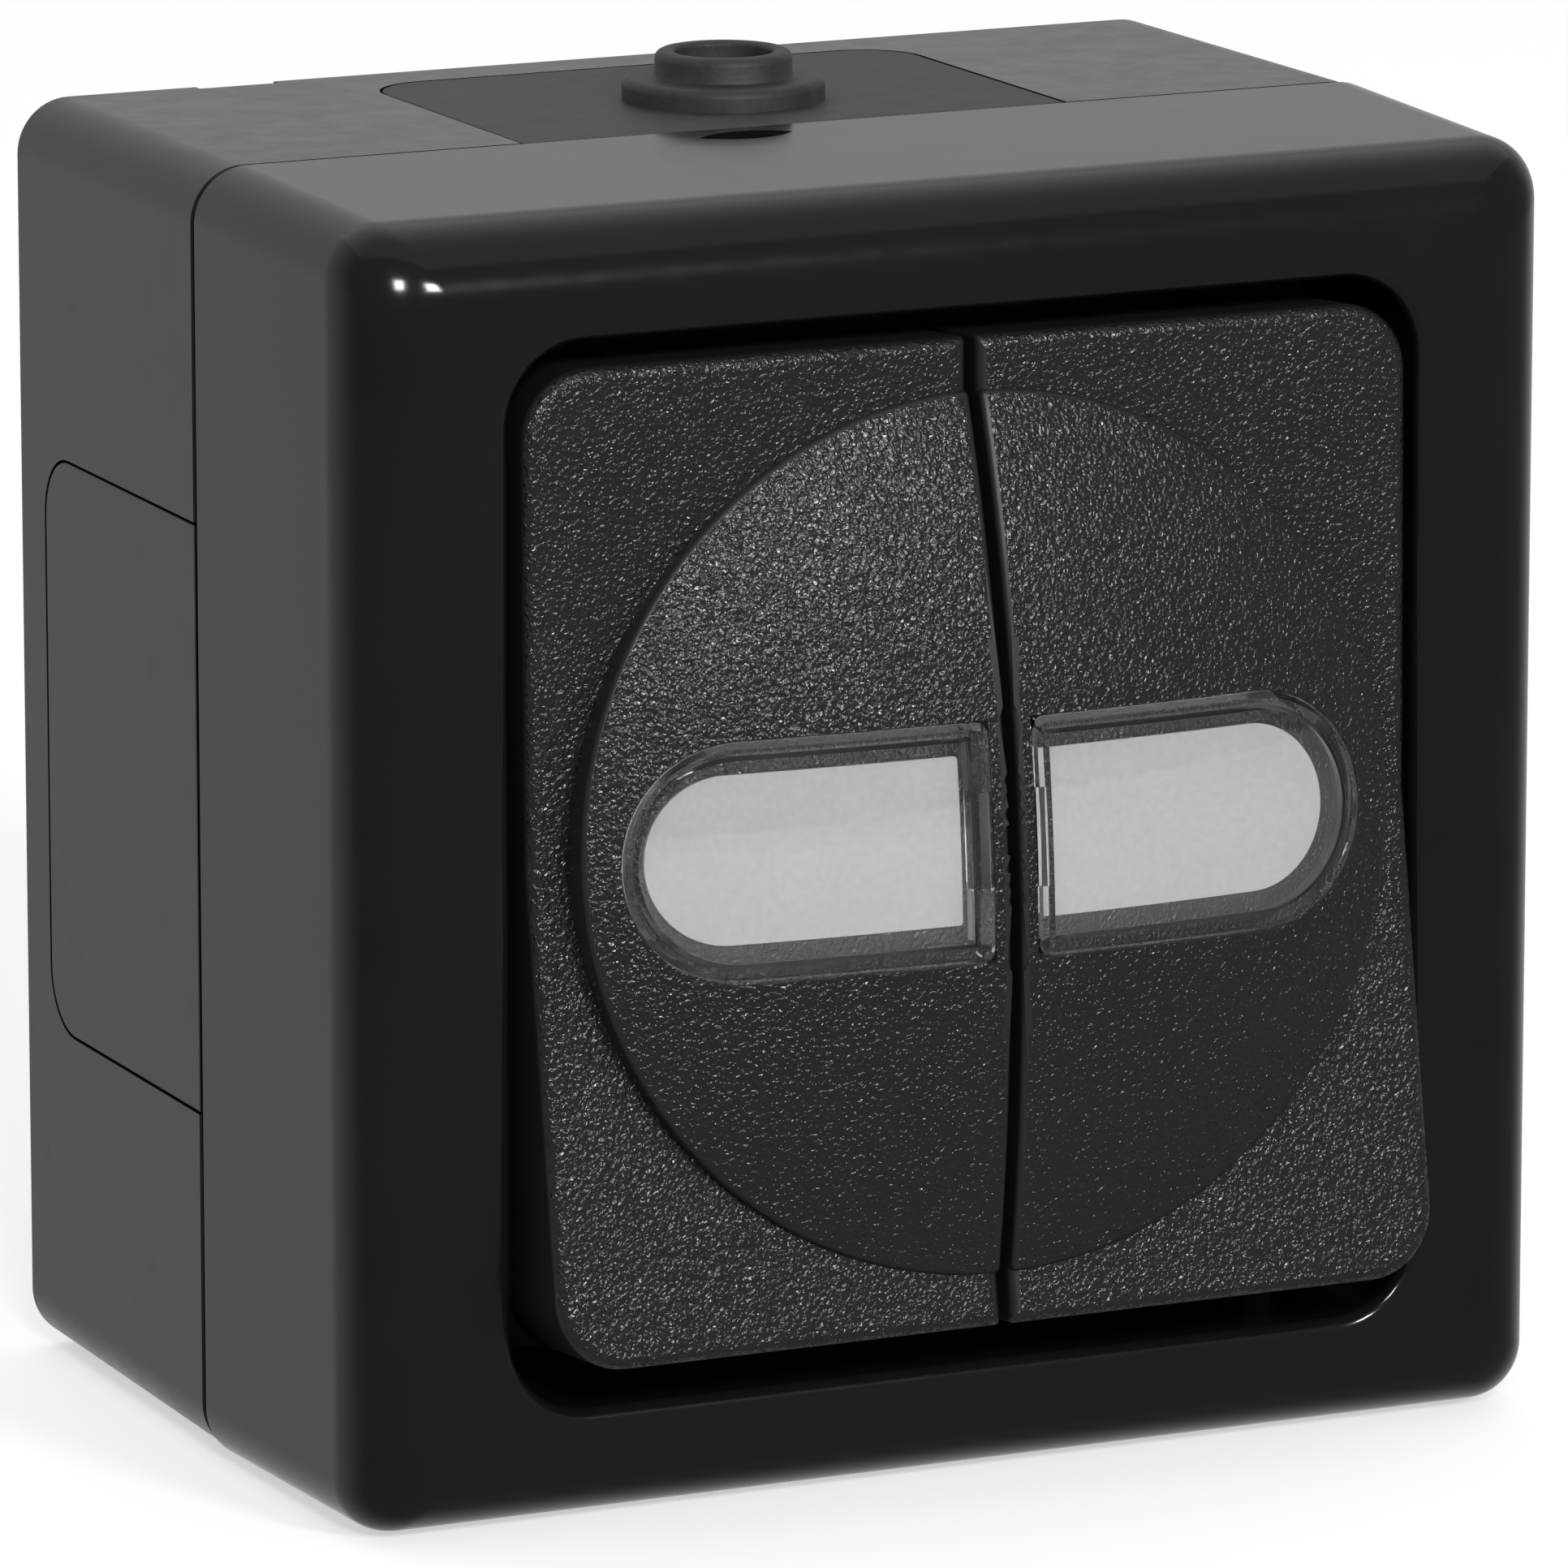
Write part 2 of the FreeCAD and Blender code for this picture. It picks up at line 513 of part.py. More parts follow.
def valley(drop, top):
    """Everything behind the rocker's two sloping outer fields, lowered by drop."""
    rise = math.tan(math.radians(VALLEY_DEG))
    z_far = PAIR_Z / 2 + 2
    low = ROCKER_END - PAIR_Z / 2 * rise - drop
    high = low + z_far * rise
    pts = [vec(-40, -top, -z_far), vec(-40, -high, -z_far), vec(-40, -low, 0), vec(-40, -high, z_far),
           vec(-40, -top, z_far), vec(-40, -top, -z_far)]
    return Part.Face(Part.makePolygon(pts)).extrude(vec(60, 0, 0))


RIB_TOP = PLATE_FRONT + 2.8     # inside the rocker's face


def make_rocker():
    field = half_outline(0, SKIRT_BACK, FRONT_LIMIT, ROCKER_R).common(valley(0, SKIRT_BACK - 5))
    rim = [e for e in field.Edges if e.BoundBox.YMax < -ROCKER_END + 3.2 and e.BoundBox.XMax < -1
           and not (e.BoundBox.YLength < 0.01 and abs(e.BoundBox.Center.z) < 0.1)]
    field = field.makeFillet(0.7, rim)
    half_space = block(-HALF, -ROCKER_GAP / 2, SKIRT_BACK, FRONT_LIMIT, -HALF, HALF)
    disc = rod(DISC_R, 0, 0, SKIRT_BACK + 2, FRONT_LIMIT).common(half_space).common(dome(DOME_R))
    shell = fuse([field, disc])
    room = half_outline(ROCKER_T, SKIRT_BACK - 1, FRONT_LIMIT, ROCKER_R - 1.2)
    room = room.common(valley(ROCKER_T, SKIRT_BACK - 5))
    # the wall along the gap is cut short where it passes over the sealing membrane
    relief = block(-ROCKER_T - 0.5, 0, SKIRT_BACK - 1, SKIRT_BACK + 1.7, -14, 14)
    shell = shell.cut([room, relief])
    d_floor = dome(DOME_R - POCKET)
    pocket = d_shape(LENS_IN, LENS_OUT, LENS_HALF, WINDOW_BACK, FRONT_LIMIT).cut(d_floor)
    shell = shell.cut(pocket)
    ribs = []
    for z in (-12.0, 12.0):
        ribs.append(block(-PAIR_HALF + 5.3, -3.0, PLATE_FRONT, RIB_TOP, z - 0.6, z + 0.6))
    for s in (-1, 1):
        z_in, z_out = s * (PLATE_Z + 0.2), s * (PLATE_Z + 1.5)
        z0, z1 = sorted((z_in, z_out))
        ribs.append(block(-GANG_X - 6, -GANG_X + 5, PLATE_BACK - 1.2, RIB_TOP - 0.3, z0, z1))
        z0, z1 = sorted((s * (PLATE_Z - 0.5), z_out))
        ribs.append(block(-GANG_X - 6, -GANG_X + 5, PLATE_BACK - 1.2, PLATE_BACK - 0.15, z0, z1))
    return fuse([shell] + ribs)


def make_label():
    sheet = d_shape(LABEL_IN, LABEL_OUT, LABEL_HALF, WINDOW_BACK, FRONT_LIMIT)
    floor = DOME_R - POCKET + 0.02
    return sheet.common(dome(floor + LABEL_T)).cut(dome(floor))


def make_lens():
    floor = DOME_R - POCKET + 0.02
    body = d_shape(LENS_IN + LENS_FIT, LENS_OUT - LENS_FIT, LENS_HALF - LENS_FIT, WINDOW_BACK, FRONT_LIMIT)
    body = body.common(dome(DOME_R + LENS_PROUD)).cut(dome(floor))
    room = d_shape(LABEL_IN - 0.15, LABEL_OUT + 0.15, LABEL_HALF + 0.15, WINDOW_BACK, FRONT_LIMIT)
    return body.cut(room.common(dome(floor + LABEL_T + 0.05)))


def make_contact_arm():
    back, front = ARM_PIVOT + 0.4, ARM_PIVOT + 1.2
    strip = block(-GANG_X - 1.7, -GANG_X + 1.7, back, front, -11.5, 11.5)
    studs = [rod(1.3, -GANG_X, s * 10.0, back - 0.8, back + 0.2) for s in (-1, 1)]
    saddle = block(-GANG_X - 1.7, -GANG_X + 1.7, ARM_PIVOT + 0.05, back + 0.1, -0.9, 0.9)
    return fuse([strip, saddle] + studs)


def terminal_block(kind):
    x, z = TERMINAL_SPOTS[kind]
    h = TERMINAL_HALF
    body = block(x - h, x + h, TERMINAL_BACK, TERMINAL_TOP, z - h, z + h)
    if z:
        wire_hole = Part.makeCylinder(WIRE_HOLE_R, 2 * (h + 1), vec(x, -WIRE_DEPTH, z - h - 1), vec(0, 0, 1))
    else:
        wire_hole = Part.makeCylinder(WIRE_HOLE_R, 2 * (h + 1), vec(x - h - 1, -WIRE_DEPTH, z), vec(1, 0, 0))
    return body, wire_hole


def make_terminal(kind):
    x, z = TERMINAL_SPOTS[kind]
    body, wire_hole = terminal_block(kind)
    if kind == "common":
        lead = [block(-GANG_X - 8.2, -GANG_X - 5.0, TERMINAL_TOP - 0.2, CAVITY_FLOOR + LEAD_T, -0.4, 0.4),
                block(-GANG_X - 8.2, -GANG_X + 1.6, CAVITY_FLOOR + 0.05, CAVITY_FLOOR + 0.05 + LEAD_T,
                      -1.6, 1.6),
                block(-GANG_X - 1.6, -GANG_X + 1.6, CAVITY_FLOOR + 0.2, ARM_PIVOT, -0.4, 0.4)]
    else:
        s = math.copysign(1, z)
        stud_top = ARM_PIVOT - 0.4 - 10.0 * math.sin(math.radians(ARM_TILT_DEG)) - 0.12
        leg_z = sorted((s * 14.2, s * 15.0))
        foot_z = sorted((s * 8.2, s * 15.0))
        lead = [block(-GANG_X - 1.8, -GANG_X + 1.8, TERMINAL_TOP - 0.2, stud_top - 0.7, leg_z[0], leg_z[1]),
                block(-GANG_X - 1.8, -GANG_X + 1.8, stud_top - 1.5, stud_top - 0.7, foot_z[0], foot_z[1]),
                rod(1.4, -GANG_X, s * 10.0, stud_top - 1.0, stud_top)]
    body = fuse([body] + lead)
    return body.cut([wire_hole, rod(1.03, x, z, TERMINAL_BACK - 1, TERMINAL_BACK + 4.0)])


def make_terminal_screw(kind):
    """Headless clamp screw, driven from the wall side, with a slot in its end."""
    x, z = TERMINAL_SPOTS[kind]
    body = rod(1.0, x, z, TERMINAL_BACK - 1.2, TERMINAL_BACK + 3.6)
    return body.cut(block(x - 1.2, x + 1.2, TERMINAL_BACK - 2, TERMINAL_BACK - 0.5, z - 0.2, z + 0.2))


# ---- write the pieces ----------------------------------------------------------------------------
def main():
    save("back_box", make_back_box())
    save("cable_membrane", make_cable_membrane())
    for side in ("left", "right", "bottom"):
        save("blank_insert_" + side, make_blank_insert(side))
    save("cover_gasket", rim_ring(RIM_GROOVE[2], COVER_BACK, 0.0))
    save("front_cover", make_front_cover())
    save("support_strap", make_support_strap())
    save("switch_base", make_switch_base())
    save("bearing_frame", make_bearing_frame())
    save("sealing_membrane", make_sealing_membrane())
    number = 0
    for sz in (1, -1):
        for sx in (-1, 1):
            number += 1
            save("strap_screw_%d" % number, screw(sx * POST_XZ, sz * POST_XZ, STRAP_DEPTH + STRAP_T, 10))
        save("frame_screw_" + ("top" if sz > 0 else "bottom"), screw(0, sz * FRAME_SCREW_Z, BEARING_FRONT, 12))

    moving = {"rocker": make_rocker(), "lens": make_lens(), "label": make_label(), "cradle": make_cradle(),
              "plunger": make_plunger()}
    for side, sign in SIDES:
        for name, shape in moving.items():
            save("%s_%s" % (side, name), turned(mirrored(shape, sign), -TILT_DEG, PIVOT_DEPTH))
        save(side + "_spring", turned(make_spring(sign * GANG_X), -TILT_DEG, PIVOT_DEPTH))
        arm = turned(mirrored(make_contact_arm(), sign), ARM_TILT_DEG, ARM_PIVOT)
        save(side + "_contact_arm", arm)
        pin = cross_rod(PIN_R, -CHEEK_OUT + 0.1, -0.1, PIVOT_DEPTH)
        save(side + "_pivot_pin", mirrored(pin, sign))
        for kind in TERMINAL_SPOTS:
            save("%s_%s_terminal" % (side, kind), mirrored(make_terminal(kind), sign))
            save("%s_%s_screw" % (side, kind), mirrored(make_terminal_screw(kind), sign))


main()
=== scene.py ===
# %% [markdown]
# # A surface-mounted switch with two rockers
# This is a damp-room wall switch: a box that screws to the wall, a glossy cover over its front half, and
# two grained rockers with label windows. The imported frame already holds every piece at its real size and
# place. The outer pieces are modelled again here with soft edges, and all the others get a finish.

import json
import math

import bmesh
import bpy
from mathutils import Euler, Matrix, Vector

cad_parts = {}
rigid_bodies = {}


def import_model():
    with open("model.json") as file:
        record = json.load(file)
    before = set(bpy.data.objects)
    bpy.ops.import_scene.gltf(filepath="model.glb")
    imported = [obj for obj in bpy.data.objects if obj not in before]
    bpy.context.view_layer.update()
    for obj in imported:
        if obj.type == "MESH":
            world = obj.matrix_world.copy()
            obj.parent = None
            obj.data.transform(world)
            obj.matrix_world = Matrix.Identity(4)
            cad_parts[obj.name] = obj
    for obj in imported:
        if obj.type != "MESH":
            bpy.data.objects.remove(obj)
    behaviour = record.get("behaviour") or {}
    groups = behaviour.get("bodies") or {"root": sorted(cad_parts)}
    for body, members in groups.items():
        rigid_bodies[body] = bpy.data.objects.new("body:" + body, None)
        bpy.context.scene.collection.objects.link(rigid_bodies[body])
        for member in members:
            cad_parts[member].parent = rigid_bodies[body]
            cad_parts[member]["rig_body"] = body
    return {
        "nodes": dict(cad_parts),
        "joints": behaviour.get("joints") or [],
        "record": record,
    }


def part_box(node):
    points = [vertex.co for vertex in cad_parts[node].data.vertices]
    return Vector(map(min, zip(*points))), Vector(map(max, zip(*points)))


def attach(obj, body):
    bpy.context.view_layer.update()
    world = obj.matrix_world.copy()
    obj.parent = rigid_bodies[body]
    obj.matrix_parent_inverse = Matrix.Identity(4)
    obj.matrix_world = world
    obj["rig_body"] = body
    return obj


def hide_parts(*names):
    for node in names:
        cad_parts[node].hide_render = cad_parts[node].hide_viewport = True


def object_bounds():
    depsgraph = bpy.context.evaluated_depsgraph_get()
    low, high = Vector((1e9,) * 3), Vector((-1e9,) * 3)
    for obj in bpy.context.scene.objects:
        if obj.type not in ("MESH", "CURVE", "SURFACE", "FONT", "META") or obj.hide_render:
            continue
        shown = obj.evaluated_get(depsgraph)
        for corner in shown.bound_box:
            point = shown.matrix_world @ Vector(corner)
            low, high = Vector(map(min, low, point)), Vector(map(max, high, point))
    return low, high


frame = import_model()
cad_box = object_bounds()
print("pieces in the frame:", len(frame["nodes"]))

# %% [markdown]
# ## Millimetres, depths and sizes from the frame
# Blender works in metres, but a switch is drawn in millimetres, so shapes are made in millimetres and
# shrunk at the end. The wall is the plane Y = 0 and the rockers face -Y, so a "depth" is the distance
# from the wall. Main sizes are read from the frame, so that the new pieces always fit the old ones.

# %% Main sizes
MM = 0.001


def box_mm(node):
    """Lowest and highest corner of one piece of the frame, in millimetres."""
    low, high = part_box(node)
    return low / MM, high / MM


box_high = box_mm("back_box")[1]
cover_low, cover_high = box_mm("front_cover")
HALF = cover_high.x                 # half the width and height of the cover
FRAME_DEPTH = -cover_low.y          # depth of the cover's flat front
SEAM = 0.55                         # open joint between box and cover
BOX_RIM = 27.7                      # depth of the box's rim
print("half width", round(HALF, 2), "front depth", round(FRAME_DEPTH, 2))

# %% [markdown]
# ## Small helpers for every piece
# A moulded box is a stack of rounded rectangles. `ring` draws one of them at a depth and `skin` joins
# neighbouring ones with faces. Rounding four corner points with a bevel gives each ring the same number of
# points, so the faces between two rings are clean quads that bend smoothly round the corner.

# %% Rings and skins
CORNER_STEPS = 14


def outline(bm, points, roundings):
    """Closed chain of edges. Each rounding names some of its corners, a radius and its steps."""
    corners = [bm.verts.new(point) for point in points]
    old = set(bm.edges)
    for here, there in zip(corners, corners[1:] + corners[:1]):
        bm.edges.new((here, there))
    for chosen, r, steps in roundings:
        bmesh.ops.bevel(bm, geom=[corners[i] for i in chosen], offset=r, offset_type="OFFSET", segments=steps,
                        profile=0.5, affect="VERTICES", material=-1)
    return [e for e in bm.edges if e not in old]


def ring(bm, half_x, half_z, r, depth):
    """Rounded rectangle of edges at one depth."""
    signs = ((-1, -1), (1, -1), (1, 1), (-1, 1))
    points = [(sx * half_x, -depth, sz * half_z) for sx, sz in signs]
    return outline(bm, points, [(range(4), r, CORNER_STEPS)])


def skin(bm, rings, close=False):
    """Faces between each ring and the next. Two rings in one plane can be joined crosswise, so the second
    one is lifted a hair while its faces are made."""
    hair = Vector((0, -0.002, 0))
    for here, there in zip(rings, rings[1:] + rings[:1] if close else rings[1:]):
        points = list({v for e in there for v in e.verts})
        bmesh.ops.translate(bm, vec=hair, verts=points)
        bmesh.ops.bridge_loops(bm, edges=here + there)
        bmesh.ops.translate(bm, vec=-hair, verts=points)


def cap(bm, edges):
    """One flat face inside a ring."""
    return bmesh.ops.edgeloop_fill(bm, edges=edges)["faces"]


def raise_plate(bm, edges, way):
    """Plate that stands on a flat outline and rises by one move."""
    risen = bmesh.ops.extrude_face_region(bm, geom=cap(bm, edges))["geom"]
    bmesh.ops.translate(bm, vec=way, verts=[g for g in risen if isinstance(g, bmesh.types.BMVert)])


def block(bm, x0, x1, d0, d1, z0, z1):
    """Plain block between two x, two depths and two z, for hidden ribs and for cutting tools."""
    made = bmesh.ops.create_cube(bm, size=1.0)["verts"]
    bmesh.ops.scale(bm, vec=(abs(x1 - x0), abs(d1 - d0), abs(z1 - z0)), verts=made)
    bmesh.ops.translate(bm, vec=((x0 + x1) / 2, -(d0 + d1) / 2, (z0 + z1) / 2), verts=made)


def bar(bm, r, length, steps):
    """Upright round bar about the origin."""
    return bmesh.ops.create_cone(bm, cap_ends=True, segments=steps, radius1=r, radius2=r,
                                 depth=length)["verts"]


def rod(bm, r, x, z, d0, d1, steps=32):
    """Round bar square to the wall."""
    made = bar(bm, r, abs(d1 - d0), steps)
    bmesh.ops.rotate(bm, verts=made, cent=(0, 0, 0), matrix=Matrix.Rotation(math.pi / 2, 3, "X"))
    bmesh.ops.translate(bm, vec=(x, -(d0 + d1) / 2, z), verts=made)


# %% [markdown]
# ## Cutting and joining
# Openings, pockets and ribs are cut or joined with Blender's Boolean modifier, as a toolmaker adds and
# removes steel. The result is applied at once, because the finished piece should be one plain mesh.

# %% Carve one shape with another
def as_object(bm, name):
    mesh = bpy.data.meshes.new(name)
    bm.to_mesh(mesh)
    bm.free()
    thing = bpy.data.objects.new(name, mesh)
    bpy.context.scene.collection.objects.link(thing)
    return thing


def outward(bm):
    """Turns every face of a closed bmesh outwards. A thin cup can come out inside out, and its volume
    tells."""
    bmesh.ops.recalc_face_normals(bm, faces=bm.faces)
    if bm.calc_volume(signed=True) < 0:
        bmesh.ops.reverse_faces(bm, faces=bm.faces)


def carve(bm, tool, operation="DIFFERENCE", overlaps=False):
    """Cuts, joins or intersects one closed bmesh with another. Both are used up. A tool whose own parts
    overlap says so."""
    outward(bm)
    outward(tool)
    work, cutter = as_object(bm, "work"), as_object(tool, "cutter")
    modifier = work.modifiers.new("carve", "BOOLEAN")
    modifier.operation, modifier.solver, modifier.object = operation, "EXACT", cutter
    modifier.use_self = overlaps
    shaped = bpy.data.meshes.new_from_object(work.evaluated_get(bpy.context.evaluated_depsgraph_get()))
    out = bmesh.new()
    out.from_mesh(shaped)
    for thing in (work, cutter):
        bpy.data.objects.remove(thing)
    bpy.data.meshes.remove(shaped)
    return out


def quarter_turn(bm, verts, turns):
    """Turns points made for the top side to another side of the box."""
    bmesh.ops.rotate(bm, verts=verts, cent=(0, 0, 0), matrix=Matrix.Rotation(turns * math.pi / 2, 3, "Y"))


def every_side(bm_maker):
    """The shape made for the top side, repeated on all four sides of the box."""
    bm = bmesh.new()
    for turns in range(4):
        before = set(bm.verts)
        bm_maker(bm)
        quarter_turn(bm, [v for v in bm.verts if v not in before], turns)
    return bm


# %% [markdown]
# ## Handing a finished mesh to the frame
# Each new piece is shrunk to metres, smoothed where its surface bends and kept crisp where it turns
# sharply. A Weighted Normal modifier lets the large flat faces rule the shading, so that they reflect
# like flat plastic right up to their rounded edges. Then the piece takes the place of its frame piece.

# %% Finish a piece
SHARP_DEG = 32.0
finished = []


def finish_piece(bm, node, materials, pick=None, sharp=SHARP_DEG):
    """Object from a bmesh in millimetres, in place of one frame node and moving with its body."""
    bmesh.ops.remove_doubles(bm, verts=bm.verts, dist=0.0005)
    outward(bm)
    if pick:
        for face in bm.faces:
            face.material_index = pick(face)
    bmesh.ops.scale(bm, vec=(MM, MM, MM), verts=bm.verts)
    piece = as_object(bm, node + "_shell")
    for material in materials:
        piece.data.materials.append(material)
    piece.data.shade_smooth()
    piece.data.set_sharp_from_angle(angle=math.radians(sharp))
    modifier = piece.modifiers.new("flat faces lead", "WEIGHTED_NORMAL")
    modifier.keep_sharp = True
    modifier.weight = 80
    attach(piece, frame["nodes"][node]["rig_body"])
    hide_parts(node)
    finished.append(piece)
    print(piece.name, len(piece.data.polygons), "faces")
    return piece


# %% [markdown]
# ## Building materials
# Every material is a small node tree. `add` places one node with its settings and links. Colours are
# written as the hex values a designer would pick on screen, and `paint` turns them into the linear light
# values that the renderer needs. `per_mm` turns a real feature size into a texture scale. No real surface
# is even, so `blotched`, `remap` and `bumpy` let a noise vary the colour, the sheen and the relief.

# %% Material helpers
def paint(code):
    """Linear RGBA from an sRGB hex colour."""
    parts = [int(code[i:i + 2], 16) / 255 for i in (1, 3, 5)]
    return [c / 12.92 if c <= 0.04045 else ((c + 0.055) / 1.055) ** 2.4 for c in parts] + [1.0]


def per_mm(size):
    """Texture scale that gives features about this many millimetres wide."""
    return 1.0 / (size * MM)


def add(tree, kind, inputs=None, **settings):
    """One node, its settings, and its inputs: a socket is linked, anything else is set as a value."""
    node = tree.nodes.new(kind)
    for name, value in settings.items():
        setattr(node, name, value)
    for name, value in (inputs or {}).items():
        if isinstance(value, bpy.types.NodeSocket):
            tree.links.new(value, node.inputs[name])
        else:
            node.inputs[name].default_value = value
    return node


def new_material(name):
    """Empty material, its tree, and a place to read the surface position from."""
    material = bpy.data.materials.new(name)
    material.use_nodes = True
    tree = material.node_tree
    tree.nodes.clear()
    return material, tree, add(tree, "ShaderNodeTexCoord").outputs["Object"]


def remap(tree, noise, low, high, span=(0.3, 0.7)):
    """Turns the middle of a noise into values from low to high."""
    spread = add(tree, "ShaderNodeMapRange", {"Value": noise.outputs["Fac"], "From Min": span[0],
                                              "From Max": span[1], "To Min": low, "To Max": high})
    return spread.outputs["Result"]


def blotched(tree, colour, noise, low, high, span=(0.3, 0.7)):
    """A colour made darker and lighter in patches."""
    tone = remap(tree, noise, low, high, span)
    mix = add(tree, "ShaderNodeMix", {"Factor": 1.0, "A": paint(colour), "B": tone}, data_type="RGBA",
              blend_type="MULTIPLY")
    return mix.outputs["Result"]


def bumpy(tree, noise, strength, height_mm):
    """Surface direction tilted by a noise."""
    bump = add(tree, "ShaderNodeBump", {"Height": noise.outputs["Fac"], "Strength": strength,
                                        "Distance": height_mm * MM})
    return bump.outputs["Normal"]


def show(tree, shader):
    add(tree, "ShaderNodeOutputMaterial", {"Surface": shader.outputs[0]})


def plastic(tree, colour, roughness, ior, normal):
    """Surface of plastic, rubber or paper: a coloured body under a clear sheen."""
    show(tree, add(tree, "ShaderNodeBsdfPrincipled", {
        "Base Color": colour, "Roughness": roughness, "IOR": ior, "Normal": normal}))

# %% [markdown]
# ## Black moulded plastic, glossy and satin
# The box and cover are ASA, an outdoor cousin of ABS, injection moulded in polished steel. Such a plastic
# is nearly black in itself. What the eye sees is its sheen: a sharp reflection where the tool was polished
# and a softer one where it was only ground. Fine dust, a few pits and a very slight waviness of the
# surface keep it from looking like glass.

# %% Moulded ASA
def moulded_asa(name, colour, roughness, wave_mm, wave_height_mm, dust):
    material, tree, place = new_material(name)
    cloud = add(tree, "ShaderNodeTexNoise", {"Vector": place, "Scale": per_mm(9.0), "Detail": 3.0})
    deep = blotched(tree, colour, cloud, 0.85, 1.15)
    # dust and pits: tiny balls scattered in space, seen where the surface cuts through one
    specks = add(tree, "ShaderNodeTexVoronoi", {"Vector": place, "Scale": per_mm(1.3)})
    near = add(tree, "ShaderNodeMath", {0: specks.outputs["Distance"], 1: 0.075}, operation="LESS_THAN")
    chosen = add(tree, "ShaderNodeMath", {0: specks.outputs["Color"], 1: 1 - dust}, operation="GREATER_THAN")
    speck = add(tree, "ShaderNodeMath", {0: near.outputs[0], 1: chosen.outputs[0]}, operation="MULTIPLY")
    dusty = add(tree, "ShaderNodeMix", {"Factor": speck.outputs[0], "A": deep, "B": paint("#5a5a5a")},
                data_type="RGBA")
    smear = add(tree, "ShaderNodeTexNoise", {"Vector": place, "Scale": per_mm(2.4), "Detail": 6.0,
                                             "Roughness": 0.62})
    rough = remap(tree, smear, roughness * 0.8, roughness * 1.2, (0.25, 0.75))
    wave = add(tree, "ShaderNodeTexNoise", {"Vector": place, "Scale": per_mm(wave_mm), "Detail": 2.0})
    plastic(tree, dusty.outputs["Result"], rough, 1.5, bumpy(tree, wave, 1.0, wave_height_mm))
    return material


gloss_asa = moulded_asa("asa_black_polished", "#181818", 0.13, 14.0, 0.012, 0.035)
satin_asa = moulded_asa("asa_black_ground", "#1c1c1c", 0.24, 6.0, 0.009, 0.05)
print("black plastics ready")

# %% [markdown]
# ## Spark-eroded grain on the rockers
# A rocker is pressed by fingers, so its mould is spark-eroded: the steel gets a field of tiny craters and
# the plastic a field of tiny hills, about a quarter of a millimetre apart. Each hill catches a lamp at
# its own angle, and that is what makes a black grained part sparkle. Rounded cells would look like leather,
# so the hills are a soft, slightly twisted noise. The narrow rims are left smooth, as in the real tool, so
# they have a second material with almost no grain.

# %% Grained and smooth rocker plastic
GRAIN_MM = 0.28
GRAIN_HEIGHT_MM = 0.155


def rocker_plastic(name, grain_share, roughness):
    material, tree, place = new_material(name)
    hills = add(tree, "ShaderNodeTexNoise", {"Vector": place, "Scale": per_mm(GRAIN_MM), "Detail": 1.0,
                                             "Roughness": 0.45, "Distortion": 0.6})
    plastic(tree, paint("#252525"), roughness, 1.585, bumpy(tree, hills, grain_share, GRAIN_HEIGHT_MM))
    return material


grained_plastic = rocker_plastic("polycarbonate_spark_eroded", 1.0, 0.18)
smooth_plastic = rocker_plastic("polycarbonate_smooth_rim", 0.04, 0.42)
print("rocker plastics ready, grain", GRAIN_MM, "mm")

# %% [markdown]
# ## Rubber, clear cap and paper
# The cable inserts are a soft elastomer, matt and a little blotchy. The label caps are clear acrylic,
# which bends what is seen through it and shines along its edges. Under each cap lies a slip of uncoated
# paper, off-white and slightly fibrous. Lamps have to reach the paper through the cap, so the cap lets
# shadow rays pass.

# %% Elastomer, acrylic and paper
def elastomer(name, colour, roughness):
    material, tree, place = new_material(name)
    blotch = add(tree, "ShaderNodeTexNoise", {"Vector": place, "Scale": per_mm(1.6), "Detail": 5.0,
                                              "Roughness": 0.7})
    pores = add(tree, "ShaderNodeTexNoise", {"Vector": place, "Scale": per_mm(0.35), "Detail": 3.0})
    plastic(tree, blotched(tree, colour, blotch, 0.75, 1.3), roughness, 1.48, bumpy(tree, pores, 0.7, 0.03))
    return material


def clear_acrylic():
    material, tree, place = new_material("acrylic_clear")
    haze = add(tree, "ShaderNodeTexNoise", {"Vector": place, "Scale": per_mm(1.5), "Detail": 2.0})
    glass = add(tree, "ShaderNodeBsdfPrincipled", {
        "Base Color": paint("#f5f5f5"), "Roughness": 0.03, "IOR": 1.49, "Transmission Weight": 1.0,
        "Normal": bumpy(tree, haze, 0.15, 0.01)})
    through = add(tree, "ShaderNodeBsdfTransparent", {"Color": paint("#f5f5f5")})
    rays = add(tree, "ShaderNodeLightPath")
    show(tree, add(tree, "ShaderNodeMixShader", {"Fac": rays.outputs["Is Shadow Ray"], 1: glass.outputs[0],
                                                 2: through.outputs[0]}))
    return material


def label_paper():
    material, tree, place = new_material("paper_uncoated")
    fibre = add(tree, "ShaderNodeTexNoise", {"Vector": place, "Scale": per_mm(0.4), "Detail": 4.0})
    plastic(tree, blotched(tree, "#a0a09f", fibre, 0.94, 1.04), 0.85, 1.45, bumpy(tree, fibre, 0.5, 0.01))
    return material


rubber = elastomer("elastomer_black", "#3b3b3b", 0.55)
acrylic = clear_acrylic()
paper = label_paper()

# %% [markdown]
# ## The box that screws to the wall
# The real box is one moulding: a floor, four walls with a cut-out in each for a cable insert, a grooved
# rim for the gasket, and posts inside for the support strap. It could be a cube with insets, but a stack
# of rings gives the slight taper, the rounded rear edge and the groove in one sweep. The cut-outs, the
# wall holes and the posts are carved and joined afterwards.

# %% Back box shell
WALL = 2.4
BOX_HALF_BACK = box_high.x - 0.25
INNER_HALF = HALF - WALL - 0.2
CORNER_R = 3.2
FLOOR = 2.5
REAR_EDGE = 0.35


